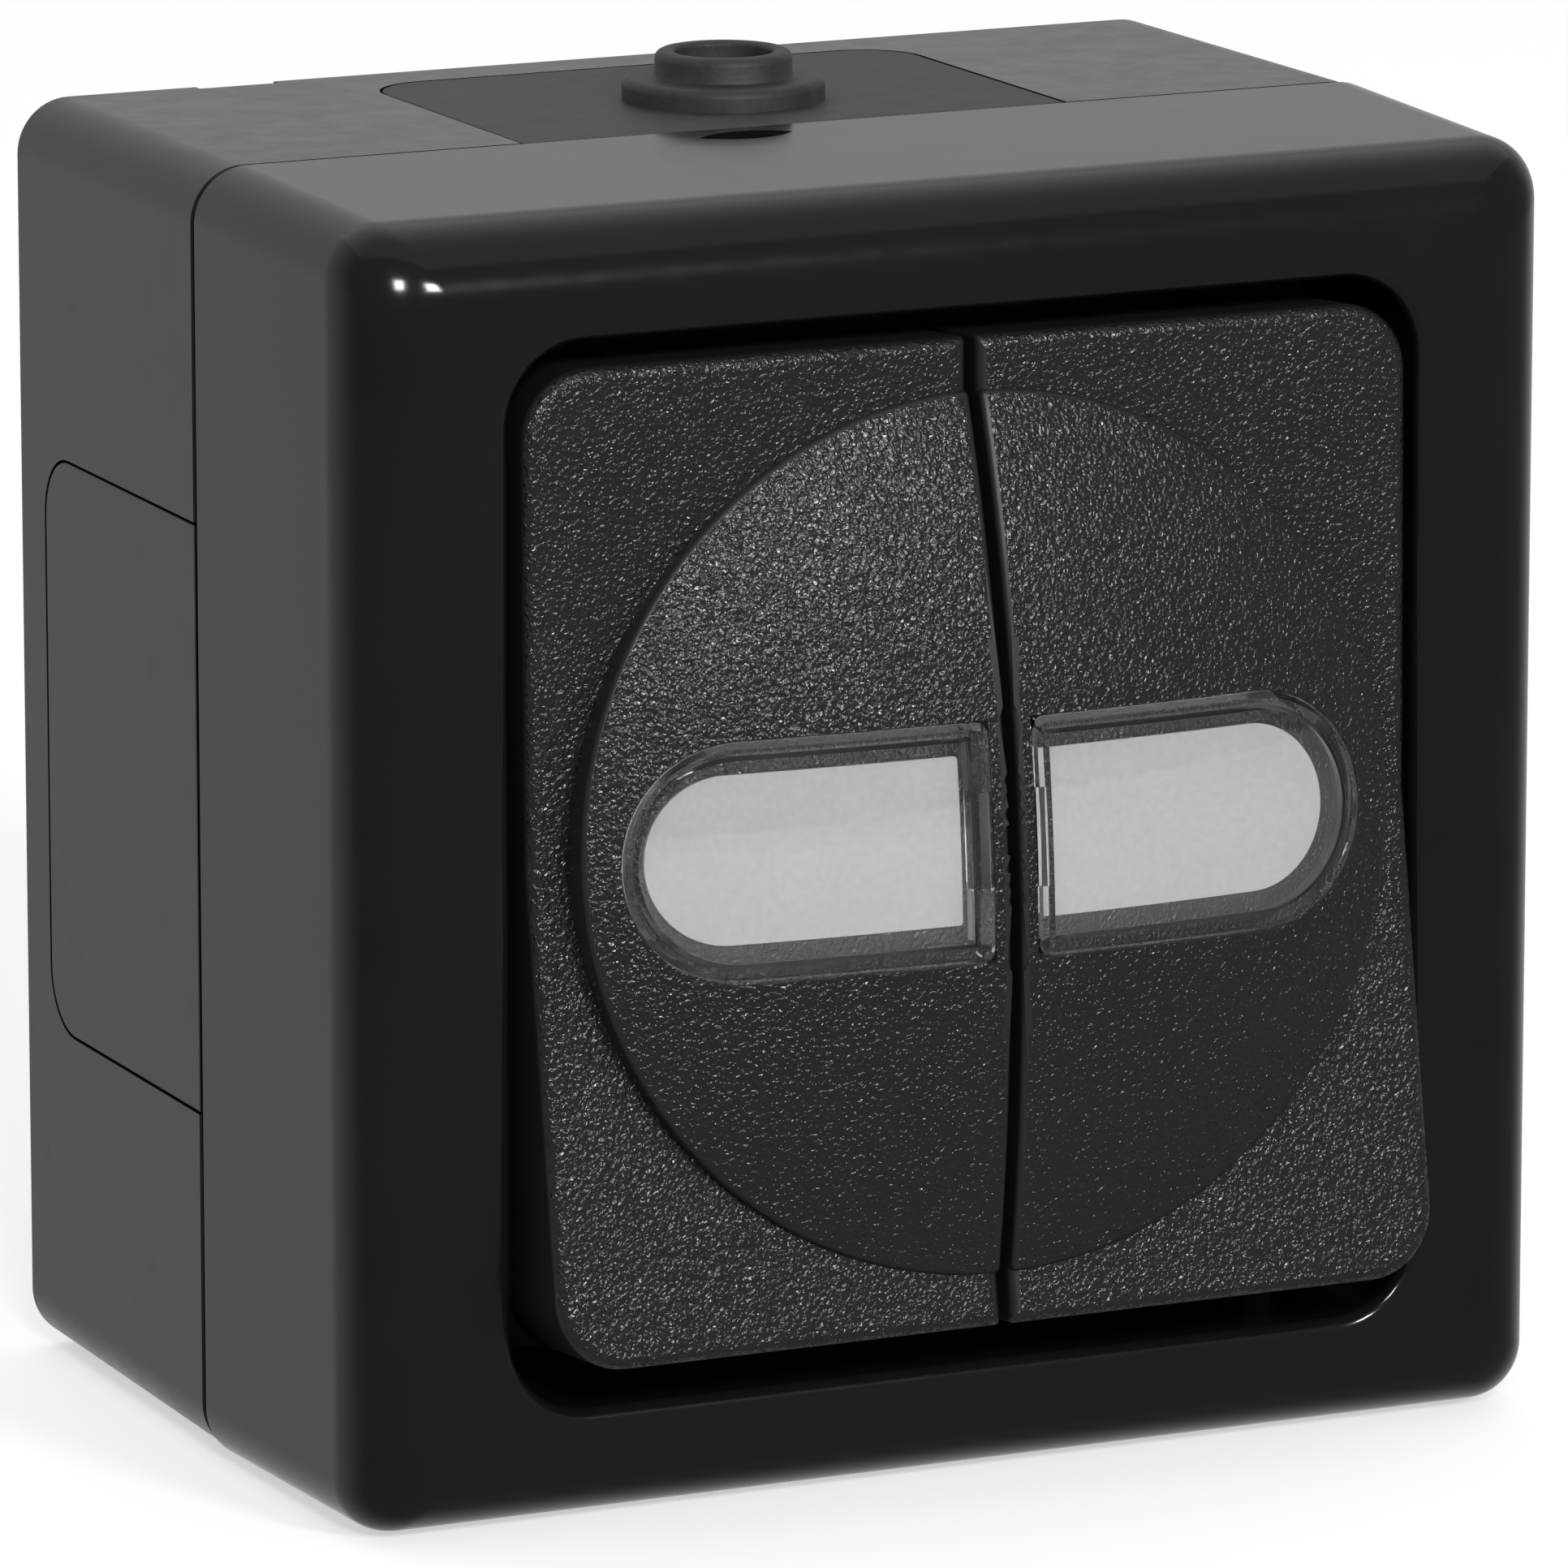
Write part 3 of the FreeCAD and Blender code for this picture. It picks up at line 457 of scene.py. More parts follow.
def box_half(depth):
    """Half width of the box, which tapers a little towards the wall."""
    return BOX_HALF_BACK + (box_high.x - BOX_HALF_BACK) * depth / BOX_RIM


def back_box_shell():
    bm = bmesh.new()
    edge_steps = 4
    rings = []
    for i in range(edge_steps + 1):
        turn = math.pi / 2 * i / edge_steps
        inset = REAR_EDGE * (1 - math.sin(turn))
        rings.append(ring(bm, BOX_HALF_BACK - inset, BOX_HALF_BACK - inset, CORNER_R - inset,
                          REAR_EDGE * (1 - math.cos(turn))))
    soft = 0.12
    groove_out, groove_in, groove_floor = HALF - 0.8, HALF - 1.9, BOX_RIM - 1.0
    for half, r, depth in ((box_high.x - 0.003, CORNER_R, BOX_RIM - soft),
                           (box_high.x - soft, CORNER_R - soft, BOX_RIM),
                           (groove_out, CORNER_R - 0.6, BOX_RIM), (groove_out, CORNER_R - 0.6, groove_floor),
                           (groove_in, CORNER_R - 1.5, groove_floor), (groove_in, CORNER_R - 1.5, BOX_RIM),
                           (INNER_HALF, CORNER_R - 1.8, BOX_RIM), (INNER_HALF, CORNER_R - 1.8, FLOOR)):
        rings.append(ring(bm, half, half, r, depth))
    skin(bm, rings)
    cap(bm, rings[0])
    cap(bm, rings[-1])
    return bm


# %% Side outline shared by cut-outs and inserts
INSERT_HALF, INSERT_START, INSERT_R = 17.2, 4.0, 3.8


def side_plate(bm, half, d0, d1, r, z0, z1):
    """Plate on the top side, square at the rim and round at its two rear corners."""
    points = [(x, -d, z0) for x, d in ((-half, d1), (-half, d0), (half, d0), (half, d1))]
    raise_plate(bm, outline(bm, points, [((1, 2), r, 10)]), (0, 0, z1 - z0))


# %% Cut-outs, posts and holes of the box
POST_XZ, POST_R, STRAP_DEPTH = 30.3, 3.4, 30.0
WALL_HOLE_XZ, WALL_HOLE_R = 25.0, 2.3
PILOT_R, PILOT_DEEP = 1.28, 11.0    # holes for the strap screws
NICK_X, NICK_DEEP = (-26.0, -21.0), 1.0   # shallow nick in the rear edge of the top
BITE = 0.5                          # how far a joined piece sinks into the wall it stands on
SIGNS = [(sx, sz) for sx in (-1, 1) for sz in (-1, 1)]

box_bm = carve(back_box_shell(), every_side(
    lambda bm: side_plate(bm, INSERT_HALF, INSERT_START, BOX_RIM + 1, INSERT_R, INNER_HALF - 1, HALF + 1)))
posts, holes = bmesh.new(), bmesh.new()
for sx, sz in SIGNS:
    post_x, post_z, hole_x, hole_z = sx * POST_XZ, sz * POST_XZ, sx * WALL_HOLE_XZ, sz * WALL_HOLE_XZ
    rod(posts, POST_R, post_x, post_z, FLOOR - BITE, STRAP_DEPTH)
    block(posts, post_x, sx * (INNER_HALF + BITE), FLOOR - BITE, BOX_RIM - 2.5, post_z - 1, post_z + 1)
    rod(posts, WALL_HOLE_R + 1.6, hole_x, hole_z, FLOOR - BITE, FLOOR + 0.8)
    rod(holes, PILOT_R, post_x, post_z, STRAP_DEPTH - PILOT_DEEP, STRAP_DEPTH + 1, 20)
    rod(holes, WALL_HOLE_R, hole_x, hole_z, -1, FLOOR + 2)
block(holes, *NICK_X, -1, NICK_DEEP, HALF - 1.4, HALF + 1)
box_bm = carve(box_bm, posts, "UNION", overlaps=True)
finish_piece(carve(box_bm, holes), "back_box", [satin_asa])

# %% [markdown]
# ## Inserts in the box sides
# Three sides are closed by a blank plate and the top by a rubber plate with a cable nozzle. Each plate is
# flush with the wall outside and has a wider flange inside, which keeps it from being pushed out. They
# could be plain planes, but the gap beside a thick plate is what draws the thin dark outline on the box.

# %% Blank inserts
INSERT_FIT = 0.15
FLANGE, FLANGE_T = 1.6, 1.4
SOFT_EDGE = 0.12


def insert_shell():
    """Insert for the top side: a flush plate with softened outer edges, joined to its flange."""
    plate = bmesh.new()
    side_plate(plate, INSERT_HALF - INSERT_FIT, INSERT_START + INSERT_FIT, BOX_RIM, INSERT_R - INSERT_FIT,
               INNER_HALF - FLANGE_T, HALF)
    for vert in plate.verts:
        if vert.co.z > INNER_HALF:
            vert.co.z = box_half(-vert.co.y)
    rim = [e for e in plate.edges if all(v.co.z > INNER_HALF for v in e.verts)]
    bmesh.ops.bevel(plate, geom=rim, offset=SOFT_EDGE, offset_type="OFFSET", segments=2, profile=0.5,
                    affect="EDGES", material=-1)
    flange = bmesh.new()
    side_plate(flange, INSERT_HALF + FLANGE, INSERT_START - 1.2, BOX_RIM - 2.5, INSERT_R,
               INNER_HALF - FLANGE_T, INNER_HALF - 0.1)
    return carve(plate, flange, "UNION")


for side, turns in (("right", 1), ("bottom", 2), ("left", 3)):
    insert = insert_shell()
    quarter_turn(insert, insert.verts, turns)
    finish_piece(insert, "blank_insert_" + side, [satin_asa])

# %% [markdown]
# ## Rubber insert with the cable nozzle
# A nozzle is a body of revolution, so its profile is drawn once and spun round: a flat flange, a raised
# ring, and the hole that grips the cable. Soft corners in the profile give the moulded rubber look.

# %% Cable membrane
NOZZLE_DEPTH = 17.5
TOP_FACE = HALF - 0.2


def arc(cx, cz, r, start_deg, end_deg, steps=5):
    """Points on an arc in the profile plane."""
    turns = [math.radians(start_deg + (end_deg - start_deg) * i / steps) for i in range(steps + 1)]
    return [(cx + r * math.cos(a), cz + r * math.sin(a)) for a in turns]


def spin_profile(points, centre, axis, steps=64):
    """Closed body from a profile of (radius, height) points, spun round Z."""
    bm = bmesh.new()
    chain = [bm.verts.new((r, 0, h)) for r, h in points]
    touches_axis = points[0][0] == points[-1][0] == 0.0
    edges = [bm.edges.new(pair) for pair in zip(chain, chain[1:] if touches_axis else chain[1:] + chain[:1])]
    bmesh.ops.spin(bm, geom=chain + edges, cent=(0, 0, 0), axis=(0, 0, 1), angle=2 * math.pi, steps=steps,
                   use_merge=True)
    bmesh.ops.remove_doubles(bm, verts=bm.verts, dist=0.0005)
    loose = [v for v in bm.verts if not v.link_faces]
    bmesh.ops.delete(bm, geom=loose, context="VERTS")
    if axis == "Y":
        bmesh.ops.rotate(bm, verts=bm.verts, cent=(0, 0, 0), matrix=Matrix.Rotation(math.pi / 2, 3, "X"))
    bmesh.ops.translate(bm, vec=centre, verts=bm.verts)
    return bm


hole_r, ring_r, flange_r = 2.85, 4.0, 5.9
flange_top = TOP_FACE + 1.35
ring_top = box_mm("cable_membrane")[1].z
nozzle = ([(hole_r, INNER_HALF - 3.0), (flange_r - 0.2, INNER_HALF - 3.0), (flange_r, TOP_FACE)]
          + arc(flange_r - 0.55, flange_top - 0.55, 0.55, 0, 90)
          + [(ring_r + 0.3, flange_top), (ring_r + 0.08, flange_top + 0.08), (ring_r, flange_top + 0.3)]
          + arc(ring_r - 0.5, ring_top - 0.5, 0.5, 0, 90)
          + arc(hole_r + 0.3, ring_top - 0.3, 0.3, 90, 180, 3))
membrane = insert_shell()
bore = bmesh.new()
bmesh.ops.translate(bore, vec=(0, -NOZZLE_DEPTH, HALF), verts=bar(bore, hole_r + 0.3, 20, 48))
membrane = carve(membrane, bore)
membrane = carve(membrane, spin_profile(nozzle, (0, -NOZZLE_DEPTH, 0), "Z"), "UNION")
finish_piece(membrane, "cable_membrane", [rubber])

# %% [markdown]
# ## The glossy cover
# The cover is a deep frame: an outer wall, a generously rounded front edge, a flat front and a well round
# the rockers. It is one closed sweep of rings, out over the front edge, across the front, down into the
# opening and back behind, so its wall is real on both sides. The front edge follows a quarter circle, with
# enough rings for a clean reflection.

# %% Front cover
FRONT_R = 4.6                       # rounding of the front edge
FRONT_CORNER_R = 1.7                # corners of the flat front inside that rounding
COVER_DRAFT = 0.4
OPEN_X, OPEN_Z, OPEN_R = 56.1, 60.7, 4.6
LIP_R, WELL_T, WELL_BACK = 0.8, 1.8, 37.0
FRONT_T = 2.6                       # thickness of the front


def front_cover_shell():
    bm = bmesh.new()
    back = BOX_RIM + SEAM
    soft = 0.15
    rings = [ring(bm, HALF - WALL, HALF - WALL, CORNER_R - 2.0, back),
             ring(bm, HALF - soft, HALF - soft, CORNER_R - soft, back),
             ring(bm, HALF - 0.04, HALF - 0.04, CORNER_R - 0.04, back + 0.05),
             ring(bm, HALF - 0.003, HALF - 0.003, CORNER_R, back + soft)]
    shoulder = FRAME_DEPTH - FRONT_R
    draft = COVER_DRAFT * (shoulder - back) / (FRAME_DEPTH - back)
    steps = 16
    for i in range(steps + 1):
        turn = math.pi / 2 * i / steps
        inset = draft + FRONT_R * (1 - math.cos(turn))
        corner = CORNER_R + (FRONT_CORNER_R - CORNER_R) * (1 - math.cos(turn))
        rings.append(ring(bm, HALF - inset, HALF - inset, corner, shoulder + FRONT_R * math.sin(turn)))
    ox, oz = OPEN_X / 2, OPEN_Z / 2
    for i in range(7):
        turn = math.pi / 2 * i / 6
        grow = LIP_R * (1 - math.sin(turn))
        lip_depth = FRAME_DEPTH - LIP_R * (1 - math.cos(turn))
        rings.append(ring(bm, ox + grow, oz + grow, OPEN_R + grow, lip_depth))
    for grow, depth in ((0, WELL_BACK), (WELL_T, WELL_BACK), (WELL_T, FRAME_DEPTH - FRONT_T)):
        rings.append(ring(bm, ox + grow, oz + grow, OPEN_R + grow, depth))
    rings.append(ring(bm, HALF - WALL - 2.2, HALF - WALL - 2.2, 1.2, FRAME_DEPTH - FRONT_T))
    rings.append(ring(bm, HALF - WALL, HALF - WALL, CORNER_R - 2.0, FRAME_DEPTH - FRONT_T - 2.2))
    skin(bm, rings, close=True)
    return bm


# %% [markdown]
# ## Latches and the release slot
# Two tongues inside hook behind the strap, and a pointed slot in the top lets a screwdriver press one
# free. The slot is two arcs meeting in points, which two overlapping round bars give when intersected.

# %% Latches and slot
SLOT_X, SLOT_LONG, SLOT_WIDE, SLOT_DEPTH = -4.5, 5.8, 2.4, 30.6
STRAP_HALF = 33.0
HOOK_HALF, HOOK_T, HOOK_PLAY = 4.0, 1.35, 0.25

hooks = bmesh.new()
for s in (-1, 1):
    x0, x1 = -s * SLOT_X - HOOK_HALF, -s * SLOT_X + HOOK_HALF
    foot, root = STRAP_DEPTH - HOOK_T - HOOK_PLAY, FRAME_DEPTH - 2
    z0, z1, z2 = STRAP_HALF - 0.8, STRAP_HALF + HOOK_PLAY, STRAP_HALF + 0.8
    block(hooks, x0, x1, foot, root, -s * z1, -s * (z1 + 1.2))
    block(hooks, x0, x1, foot, STRAP_DEPTH - HOOK_PLAY, -s * z0, -s * z2)
cover_bm = carve(front_cover_shell(), hooks, "UNION", overlaps=True)


def slot_half(side):
    """Upright round bar whose edge is one side of the slot."""
    r = ((SLOT_LONG / 2) ** 2 + (SLOT_WIDE / 2) ** 2) / SLOT_WIDE
    bm = bmesh.new()
    centre = (SLOT_X, -SLOT_DEPTH + side * (r - SLOT_WIDE / 2), HALF)
    bmesh.ops.translate(bm, vec=centre, verts=bar(bm, r, 6, 160))
    return bm


cover_bm = carve(cover_bm, carve(slot_half(-1), slot_half(1), "INTERSECT"))
finish_piece(cover_bm, "front_cover", [gloss_asa])

# %% [markdown]
# ## The two rockers
# A rocker is a shallow cap whose face is two gentle slopes meeting at the pivot line, with half of a domed
# disc raised on it. The slopes come from one flat stack of rings that is bent afterwards, after an extra
# row of points is cut in at the pivot line. The disc is a profile spun round its middle and cut in half at
# the gap. Both rockers are drawn in their middle position and then turned to the pressed-in rest position.

# %% Rocker sizes and the tilt at rest
swing = next(j for j in frame["joints"] if j["name"] == "left_rocker_swing")
TILT = math.radians((swing["range_deg"][1] - swing["range_deg"][0]) / 2)
PIVOT = Vector(swing["pos_m"]) / MM
PAIR_X, PAIR_Z, GAP = 54.6, 56.0, 0.6
ROCKER_R, RIM_R, GAP_CORNER_R = 4.0, 0.75, 0.25
ROCKER_END = FRAME_DEPTH + 2.7
VALLEY = math.tan(math.radians(4.4))
SKIRT_BACK, ROCKER_T = 46.0, 1.8
RELIEF_DEEP, RELIEF_HALF = 1.7, 14.0  # room in the gap wall for the bearings
DISC_R, DOME_R = 25.0, 100.0
DOME_CENTRE = ROCKER_END - math.sqrt(DOME_R ** 2 - DISC_R ** 2)
print("tilt", round(math.degrees(TILT), 2), "pivot depth", round(-PIVOT.y, 2))


def field_depth(z):
    """Depth of the sloping field."""
    return ROCKER_END - (PAIR_Z / 2 - abs(z)) * VALLEY


def dome_depth(r, ball=DOME_R):
    return DOME_CENTRE + math.sqrt(ball ** 2 - r ** 2)


# %% Field of one rocker
def one_sided_ring(bm, inset, r, depth):
    """Ring of the left rocker's outline, with round outer corners and nearly square ones at the gap."""
    x_in, x_out, half_z = -GAP / 2 - inset, -PAIR_X / 2 + inset, PAIR_Z / 2 - inset
    points = [(x, -depth, z) for x, z in ((x_out, -half_z), (x_in, -half_z), (x_in, half_z), (x_out, half_z))]
    return outline(bm, points, [((0, 3), r, 10), ((1, 2), GAP_CORNER_R, 10)])


def slope(bm, drop=0.0):
    """Bends the flat top to the two slopes that meet at the pivot line."""
    bmesh.ops.bisect_plane(bm, geom=bm.verts[:] + bm.edges[:] + bm.faces[:], plane_co=(0, 0, 0),
                           plane_no=(0, 0, 1))
    for vert in bm.verts:
        if -vert.co.y > ROCKER_END - drop - RIM_R - 0.5:
            vert.co.y += ROCKER_END - field_depth(vert.co.z)


def rocker_field():
    bm = bmesh.new()
    rings = [one_sided_ring(bm, 0, ROCKER_R, SKIRT_BACK)]
    steps = 6
    for i in range(steps + 1):
        turn = math.pi / 2 * i / steps
        inset = RIM_R * (1 - math.cos(turn))
        rings.append(one_sided_ring(bm, inset, ROCKER_R - inset * 0.6,
                                    ROCKER_END - RIM_R * (1 - math.sin(turn))))
    skin(bm, rings)
    cap(bm, rings[0])
    cap(bm, rings[-1])
    slope(bm)
    return bm


def rocker_room():
    """The hollow inside the rocker."""
    bm = bmesh.new()
    rings = [one_sided_ring(bm, ROCKER_T, ROCKER_R - 1.2, SKIRT_BACK - 1),
             one_sided_ring(bm, ROCKER_T, ROCKER_R - 1.2, ROCKER_END - ROCKER_T)]
    skin(bm, rings)
    cap(bm, rings[0])
    cap(bm, rings[-1])
    slope(bm, ROCKER_T)
    return bm


# %% Half disc and the window
LENS_IN, LENS_OUT, LENS_HALF, LENS_PROUD, LENS_FIT = 1.3, 22.9, 6.85, 0.4, 0.08
POCKET = 2.2                        # depth of the window's pocket
WINDOW_CORNER_R = 0.2
PLUG_DEPTHS = (FRAME_DEPTH - 1, FRAME_DEPTH + 11)
DISC_EDGE = 0.45


def ball_cap(ball, edge_r=30.0, d_back=40.0, edge=0.0, rows=30):
    """Domed round plug: a piece of a ball in front, a soft edge and a straight side."""
    front = [(edge_r - edge) * i / rows for i in range(rows + 1)]
    points = [(r, dome_depth(r, ball)) for r in front]
    if edge:
        points += arc(edge_r - edge, points[-1][1] - edge, edge, 80, 0)
    points += [(edge_r, d_back), (0.0, d_back)]
    return spin_profile(points, (0, 0, 0), "Y", 144)


def half_disc():
    bm = ball_cap(DOME_R, DISC_R, SKIRT_BACK + 2, DISC_EDGE, rows=26)
    whole = bm.verts[:] + bm.edges[:] + bm.faces[:]
    cut = bmesh.ops.bisect_plane(bm, geom=whole, plane_co=(-GAP / 2 - 0.02, 0, 0), plane_no=(1, 0, 0),
                                 clear_outer=True)
    rim = [g for g in cut["geom_cut"] if isinstance(g, bmesh.types.BMEdge)]
    wall = bmesh.ops.edgeloop_fill(bm, edges=rim)["faces"]
    front = [e for f in wall for e in f.edges if all(-v.co.y > dome_depth(DISC_R) - 1 for v in e.verts)]
    bmesh.ops.bevel(bm, geom=front, offset=0.4, offset_type="OFFSET", segments=3, profile=0.5, affect="EDGES",
                    material=-1)
    return bm


def window_plug(inner, outer, half):
    """D-shaped plug through the disc: flat towards the gap, round outwards."""
    bm = bmesh.new()
    d0, d1 = PLUG_DEPTHS
    points = [(x, -d0, z) for x, z in ((-outer, -half), (-inner, -half), (-inner, half), (-outer, half))]
    edges = outline(bm, points, [((0, 3), half - 0.01, 32), ((1, 2), WINDOW_CORNER_R, 4)])
    raise_plate(bm, edges, (0, d0 - d1, 0))
    return bm


# %% Turn, mirror and finish one rocker's piece
def settle(bm, side):
    """Mirrors a piece drawn for the left rocker if needed and turns it to the rest position."""
    if side == "right":
        bmesh.ops.scale(bm, vec=(-1, 1, 1), verts=bm.verts)
        bmesh.ops.reverse_faces(bm, faces=bm.faces)
    bmesh.ops.rotate(bm, verts=bm.verts, cent=PIVOT, matrix=Matrix.Rotation(-TILT, 3, "X"))
    return bm


def grain_or_rim(face):
    """1 where the tool was spark-eroded, 0 on rims, walls and hidden faces."""
    back_turn = Matrix.Rotation(TILT, 3, "X")
    normal = back_turn @ face.normal
    spot = back_turn @ (face.calc_center_median() - PIVOT) + PIVOT
    off_disc = math.hypot(spot.x, spot.z) > DISC_R + 1.2
    steep = -normal.y < math.cos(math.radians(62 if off_disc else 19))
    hidden = -spot.y < field_depth(spot.z) - (0.45 if off_disc else 0.05)
    at_gap = abs(abs(spot.x) - GAP / 2) < 0.42
    return 0 if steep or hidden or at_gap else 1


def rocker_shell():
    shell = carve(rocker_field(), half_disc(), "UNION")
    relief = bmesh.new()
    block(relief, -ROCKER_T - 0.5, 0, SKIRT_BACK - 1, SKIRT_BACK + RELIEF_DEEP, -RELIEF_HALF, RELIEF_HALF)
    shell = carve(carve(shell, rocker_room()), relief)
    return carve(shell, carve(window_plug(LENS_IN, LENS_OUT, LENS_HALF), ball_cap(DOME_R - POCKET)))


for side in ("left", "right"):
    finish_piece(settle(rocker_shell(), side), side + "_rocker", [smooth_plastic, grained_plastic],
                 pick=grain_or_rim)

# %% [markdown]
# ## Label slips and clear caps
# The slip is a thin D of paper lying on the pocket's floor. The cap is a thin-walled acrylic lid: a
# bevelled top, walls that stand on the floor, and a notch at its flat end for a screwdriver. A solid could
# be hollowed with a Boolean, but thin domed faces are easily torn that way. So the same outline is stacked
# inside and outside, and the walls have a true thickness for the light to bend in.

# %% Labels and caps
LABEL_IN, LABEL_OUT, LABEL_HALF, LABEL_T = 2.6, 20.9, 4.75, 0.25
CAP_T, CAP_WALL, CAP_BEVEL, CAP_CORNER, NOTCH_HALF = 1.05, 0.85, 0.4, 0.7, 2.8
FLOOR_BALL = DOME_R - POCKET + 0.02


def label_slip():
    sheet = carve(window_plug(LABEL_IN, LABEL_OUT, LABEL_HALF), ball_cap(FLOOR_BALL + LABEL_T), "INTERSECT")
    return carve(sheet, ball_cap(FLOOR_BALL))


def quarter(start_deg, steps):
    """Angles of a quarter turn in radians, without its first one."""
    return [math.radians(start_deg + 90 * i / steps) for i in range(1, steps + 1)]


def d_ring(bm, inset, ball, lower=0.0):
    """The cap's outline, moved inwards and laid on a ball face. Every ring has the same number of points."""
    inner, half = LENS_IN + LENS_FIT + inset, LENS_HALF - LENS_FIT - inset
    bend = LENS_OUT - LENS_HALF
    corner = max(CAP_CORNER - inset, 0.05)
    tip = inner + corner
    line = [(-inner, (half - corner) * (i / 4 - 1)) for i in range(9)]
    line += [(-tip + corner * math.cos(a), half - corner + corner * math.sin(a)) for a in quarter(0, 4)]
    line += [(-tip + (tip - bend) * i / 8, half) for i in range(1, 9)]
    line += [(-bend + half * math.cos(a), half * math.sin(a)) for a in quarter(90, 20) + quarter(180, 20)]
    line += [(-bend + (bend - tip) * i / 8, -half) for i in range(1, 9)]
    low = corner - half
    line += [(-tip + corner * math.cos(a), low + corner * math.sin(a)) for a in quarter(270, 4)[:-1]]
    return [bm.verts.new((x, lower - dome_depth(math.hypot(x, z), ball), z)) for x, z in line]


def lens_cap():
    """Cap as a stack of outlines: up the outside, over the bevel and across the face, and the same again
    for the room under it."""
    bm = bmesh.new()
    face = DOME_R + LENS_PROUD
    steps = (1.6, 2.8, 4.0, 5.2, 6.1)
    under = [d_ring(bm, k, face - CAP_T) for k in steps[::-1]]
    walls = [d_ring(bm, CAP_WALL + 0.25, face - CAP_T), d_ring(bm, CAP_WALL, face - CAP_T, 0.25),
             d_ring(bm, CAP_WALL, FLOOR_BALL), d_ring(bm, 0.0, FLOOR_BALL), d_ring(bm, 0.0, face, CAP_BEVEL)]
    over = [d_ring(bm, CAP_BEVEL, face)] + [d_ring(bm, k, face) for k in steps]
    rings = under + walls + over
    for here, there in zip(rings, rings[1:]):
        for i in range(len(here)):
            j = (i + 1) % len(here)
            bm.faces.new((here[i], here[j], there[j], there[i]))
    bm.faces.new(rings[0])
    bm.faces.new(rings[-1])
    notch = bmesh.new()
    low, high = FRAME_DEPTH - 1, DOME_CENTRE + face - CAP_T + 0.4
    block(notch, -LENS_IN - CAP_WALL + 0.05, -LENS_IN + 0.5, low, high, -NOTCH_HALF, NOTCH_HALF)
    return carve(bm, notch)


for side in ("left", "right"):
    finish_piece(settle(label_slip(), side), side + "_label", [paper])
    finish_piece(settle(lens_cap(), side), side + "_lens", [acrylic])

# %% [markdown]
# ## Finishes for the pieces inside
# Everything else keeps the shape it has in the frame. Inside a switch the plastics are unfilled nylon and
# a hard thermoset that doesn't char, the sheet parts are zinc-plated steel and the contacts are brass.
# None of them is polished, so each has a soft sheen with a fine drawn or moulded texture.

# %% Inner materials
def plain_moulding(name, colour, roughness, grain_mm):
    material, tree, place = new_material(name)
    grain = add(tree, "ShaderNodeTexNoise", {"Vector": place, "Scale": per_mm(grain_mm), "Detail": 4.0})
    body = blotched(tree, colour, grain, 0.9, 1.1, (0.0, 1.0))
    plastic(tree, body, roughness, 1.52, bumpy(tree, grain, 0.3, 0.02))
    return material


def drawn_metal(name, colour, roughness, line_mm):
    material, tree, place = new_material(name)
    along = add(tree, "ShaderNodeMapping", {"Vector": place, "Scale": (1.0, 8.0, 1.0)})
    lines = add(tree, "ShaderNodeTexNoise", {"Vector": along.outputs["Vector"], "Scale": per_mm(line_mm),
                                             "Detail": 3.0})
    show(tree, add(tree, "ShaderNodeBsdfPrincipled", {
        "Base Color": paint(colour), "Metallic": 1.0,
        "Roughness": remap(tree, lines, roughness * 0.7, roughness * 1.3, (0.0, 1.0)),
        "Normal": bumpy(tree, lines, 0.3, 0.01)}))
    return material


inner_finish = {
    "rubber": rubber,
    "inner_plastic": plain_moulding("nylon_natural", "#c9c6ba", 0.45, 0.8),
    "base_thermoset": plain_moulding("melamine_thermoset_grey", "#6b6a66", 0.4, 0.5),
    "zinc_steel": drawn_metal("steel_zinc_plated", "#c3c6ca", 0.3, 1.0),
    "brass": drawn_metal("brass_stamped", "#c9a25a", 0.28, 1.0),
}
node_slots = {part["node"]: part["material_slot"] for part in frame["record"]["subparts"]}
replaced = {piece.name.replace("_shell", "") for piece in finished}
for node, thing in frame["nodes"].items():
    if node in replaced:
        continue
    thing.data.materials.clear()
    thing.data.materials.append(inner_finish[node_slots[node]])
print("inner pieces with a finish:", len(frame["nodes"]) - len(replaced))

# %% [markdown]
# ## Floor, light and camera
# Black plastic shows its surroundings more than its own colour. So the room is bright behind the switch
# and dim on the camera's side: the top and the left side then mirror a pale wall at a shallow angle, and
# the front stays black. A wide lamp overhead fills the top. Two small square lamps in front give the rim
# its two glints and the grain its sparkle. The floor glows a little so that it stays as pale as the room,
# and the plastic doesn't mirror it.

# %% Floor and room light
FLOOR_REACH = 3.0                   # metres

floor_bm = bmesh.new()
bmesh.ops.create_grid(floor_bm, x_segments=1, y_segments=1, size=FLOOR_REACH)
bmesh.ops.translate(floor_bm, vec=(0, 0, cad_box[0][2]), verts=floor_bm.verts)
floor = as_object(floor_bm, "studio_floor")
material, tree, place = new_material("matt_paper_floor")
show(tree, add(tree, "ShaderNodeBsdfPrincipled", {
    "Base Color": paint("#f4f4f4"), "Roughness": 0.9, "Emission Color": paint("#ffffff"),
    "Emission Strength": 0.55}))
floor.data.materials.append(material)
floor.visible_glossy = False
floor.visible_diffuse = False


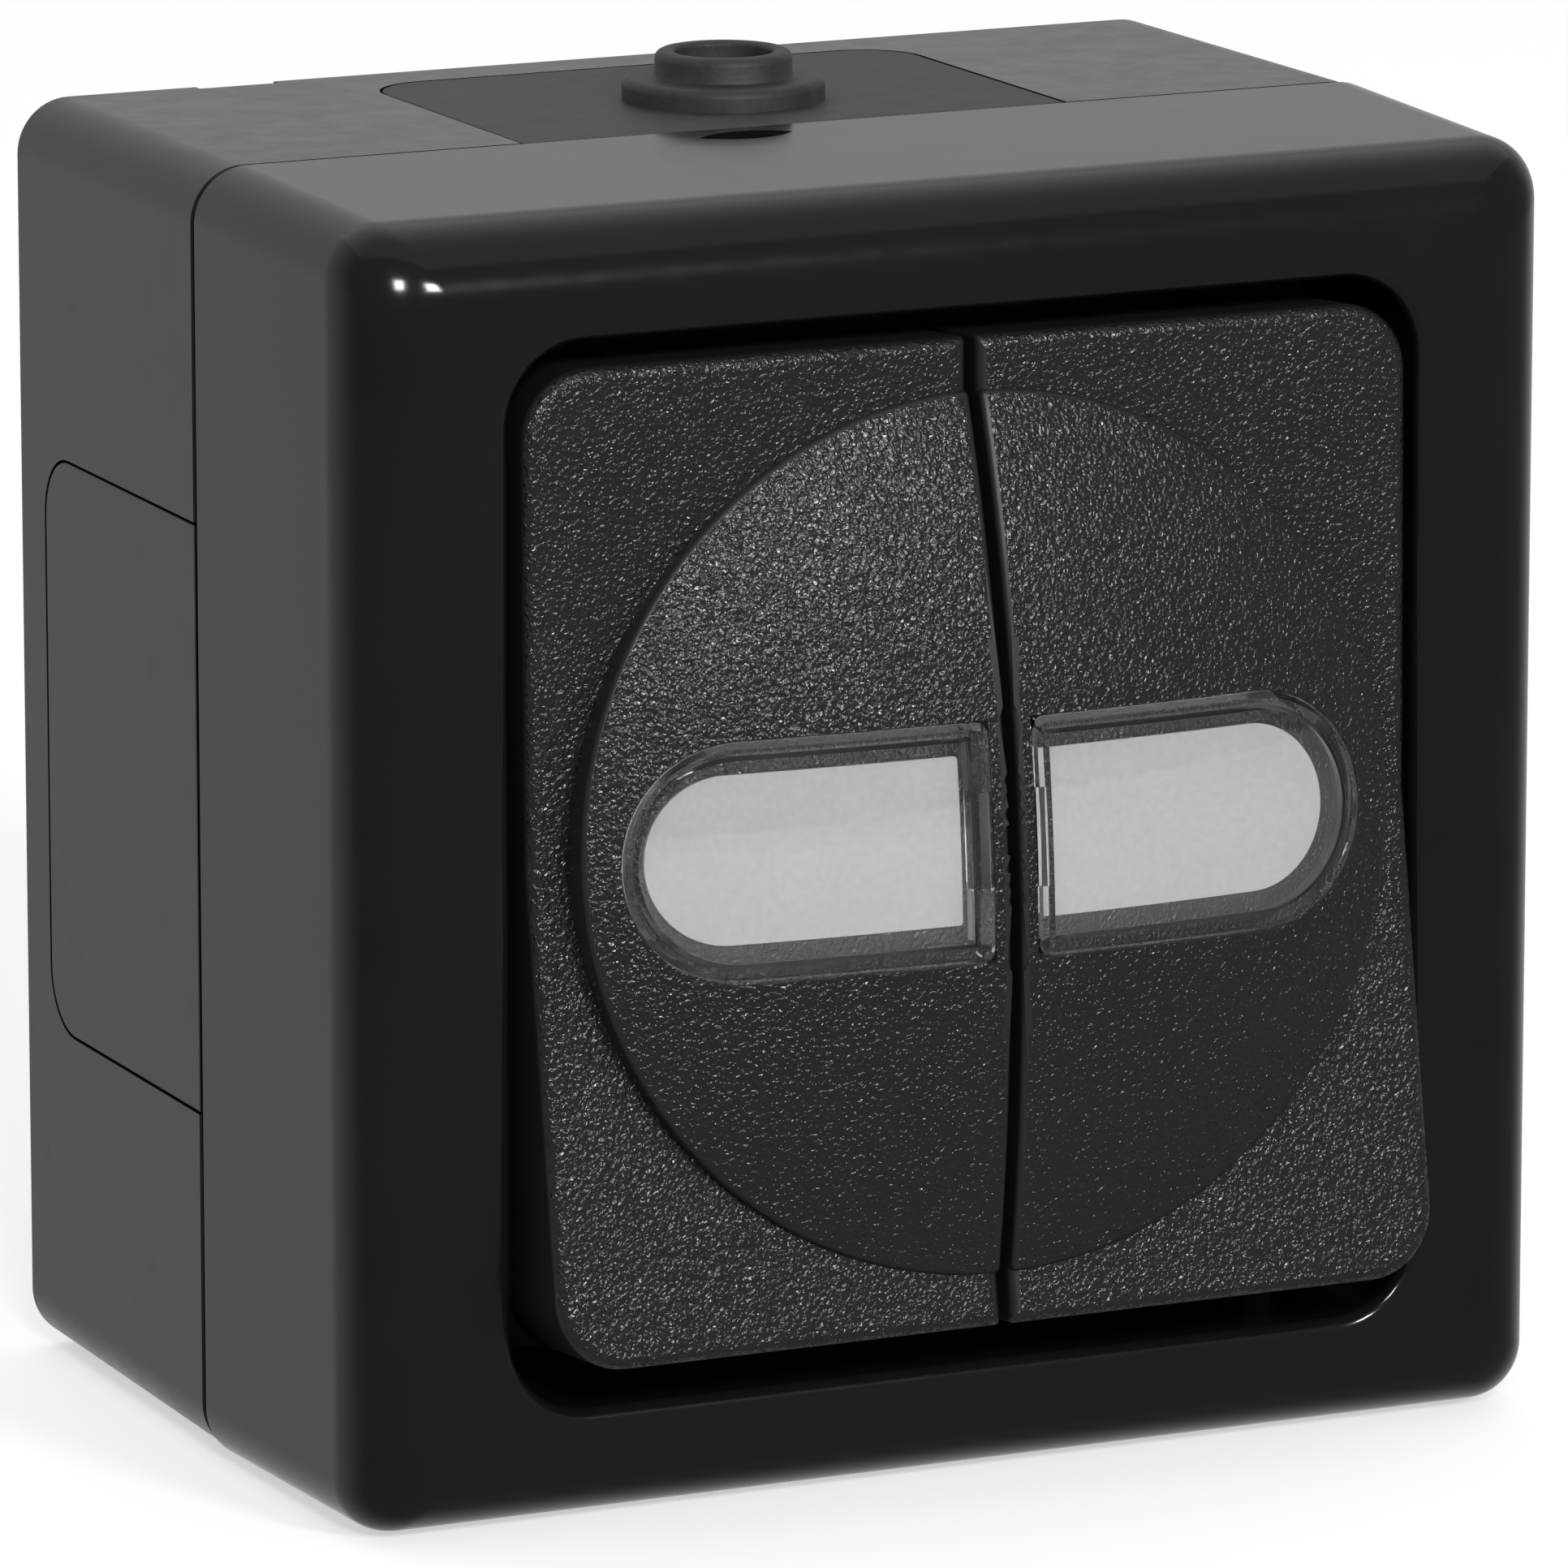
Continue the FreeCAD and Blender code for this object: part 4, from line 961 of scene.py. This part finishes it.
def room_light():
    """Pale for the camera. For the plastic it is bright behind and dim in front."""
    world = bpy.data.worlds.new("studio")
    world.use_nodes = True
    bpy.context.scene.world = world
    tree = world.node_tree
    tree.nodes.clear()
    way = add(tree, "ShaderNodeSeparateXYZ", {0: add(tree, "ShaderNodeTexCoord").outputs["Generated"]})
    behind = add(tree, "ShaderNodeMapRange", {
        "Value": way.outputs["Y"], "From Min": -0.1, "From Max": 0.6, "To Min": 0.19, "To Max": 0.53},
        interpolation_type="SMOOTHSTEP")
    seen = add(tree, "ShaderNodeBackground", {"Color": (1, 1, 1, 1), "Strength": 1.0})
    lit = add(tree, "ShaderNodeBackground", {"Color": (1, 1, 1, 1), "Strength": behind.outputs["Result"]})
    rays = add(tree, "ShaderNodeLightPath")
    both = add(tree, "ShaderNodeMixShader", {"Fac": rays.outputs["Is Camera Ray"], 1: lit.outputs[0],
                                             2: seen.outputs[0]})
    add(tree, "ShaderNodeOutputWorld", {"Surface": both.outputs[0]})


room_light()


# %% Lamps
def soft_box(name, direction, distance, size, watts):
    """Square area lamp that faces the switch from one direction."""
    lamp = bpy.data.lights.new(name, "AREA")
    lamp.shape, lamp.size, lamp.energy = "SQUARE", size, watts
    thing = bpy.data.objects.new(name, lamp)
    bpy.context.scene.collection.objects.link(thing)
    away = Vector(direction).normalized()
    thing.location = Vector((0, -0.03, 0)) + away * distance
    thing.rotation_euler = away.to_track_quat("Z", "Y").to_euler()
    thing.visible_camera = False
    return thing


soft_box("overhead", (0.1, 0.2, 1.0), 0.9, 1.6, 1.6)
soft_box("front_left", (-0.27, -0.85, 0.45), 1.0, 0.16, 2.8)
soft_box("front_right", (0.20, -0.90, 0.40), 1.0, 0.15, 2.7)

# %% Camera
CAMERA_YAW, CAMERA_PITCH = math.radians(24.68), math.radians(12.525)
CAMERA_PLACE = Vector((-297.66, -673.66, 156.65)) * MM
lens = bpy.data.cameras.new("camera")
lens.lens, lens.sensor_width = 289.08, 36.0
lens.clip_start, lens.clip_end = 0.05, 20.0
camera = bpy.data.objects.new("camera", lens)
bpy.context.scene.collection.objects.link(camera)
camera.location = CAMERA_PLACE
camera.rotation_euler = Euler((math.pi / 2 - CAMERA_PITCH, 0.0, -CAMERA_YAW), "XYZ")
bpy.context.scene.camera = camera
bpy.context.scene.view_settings.view_transform = "Standard"
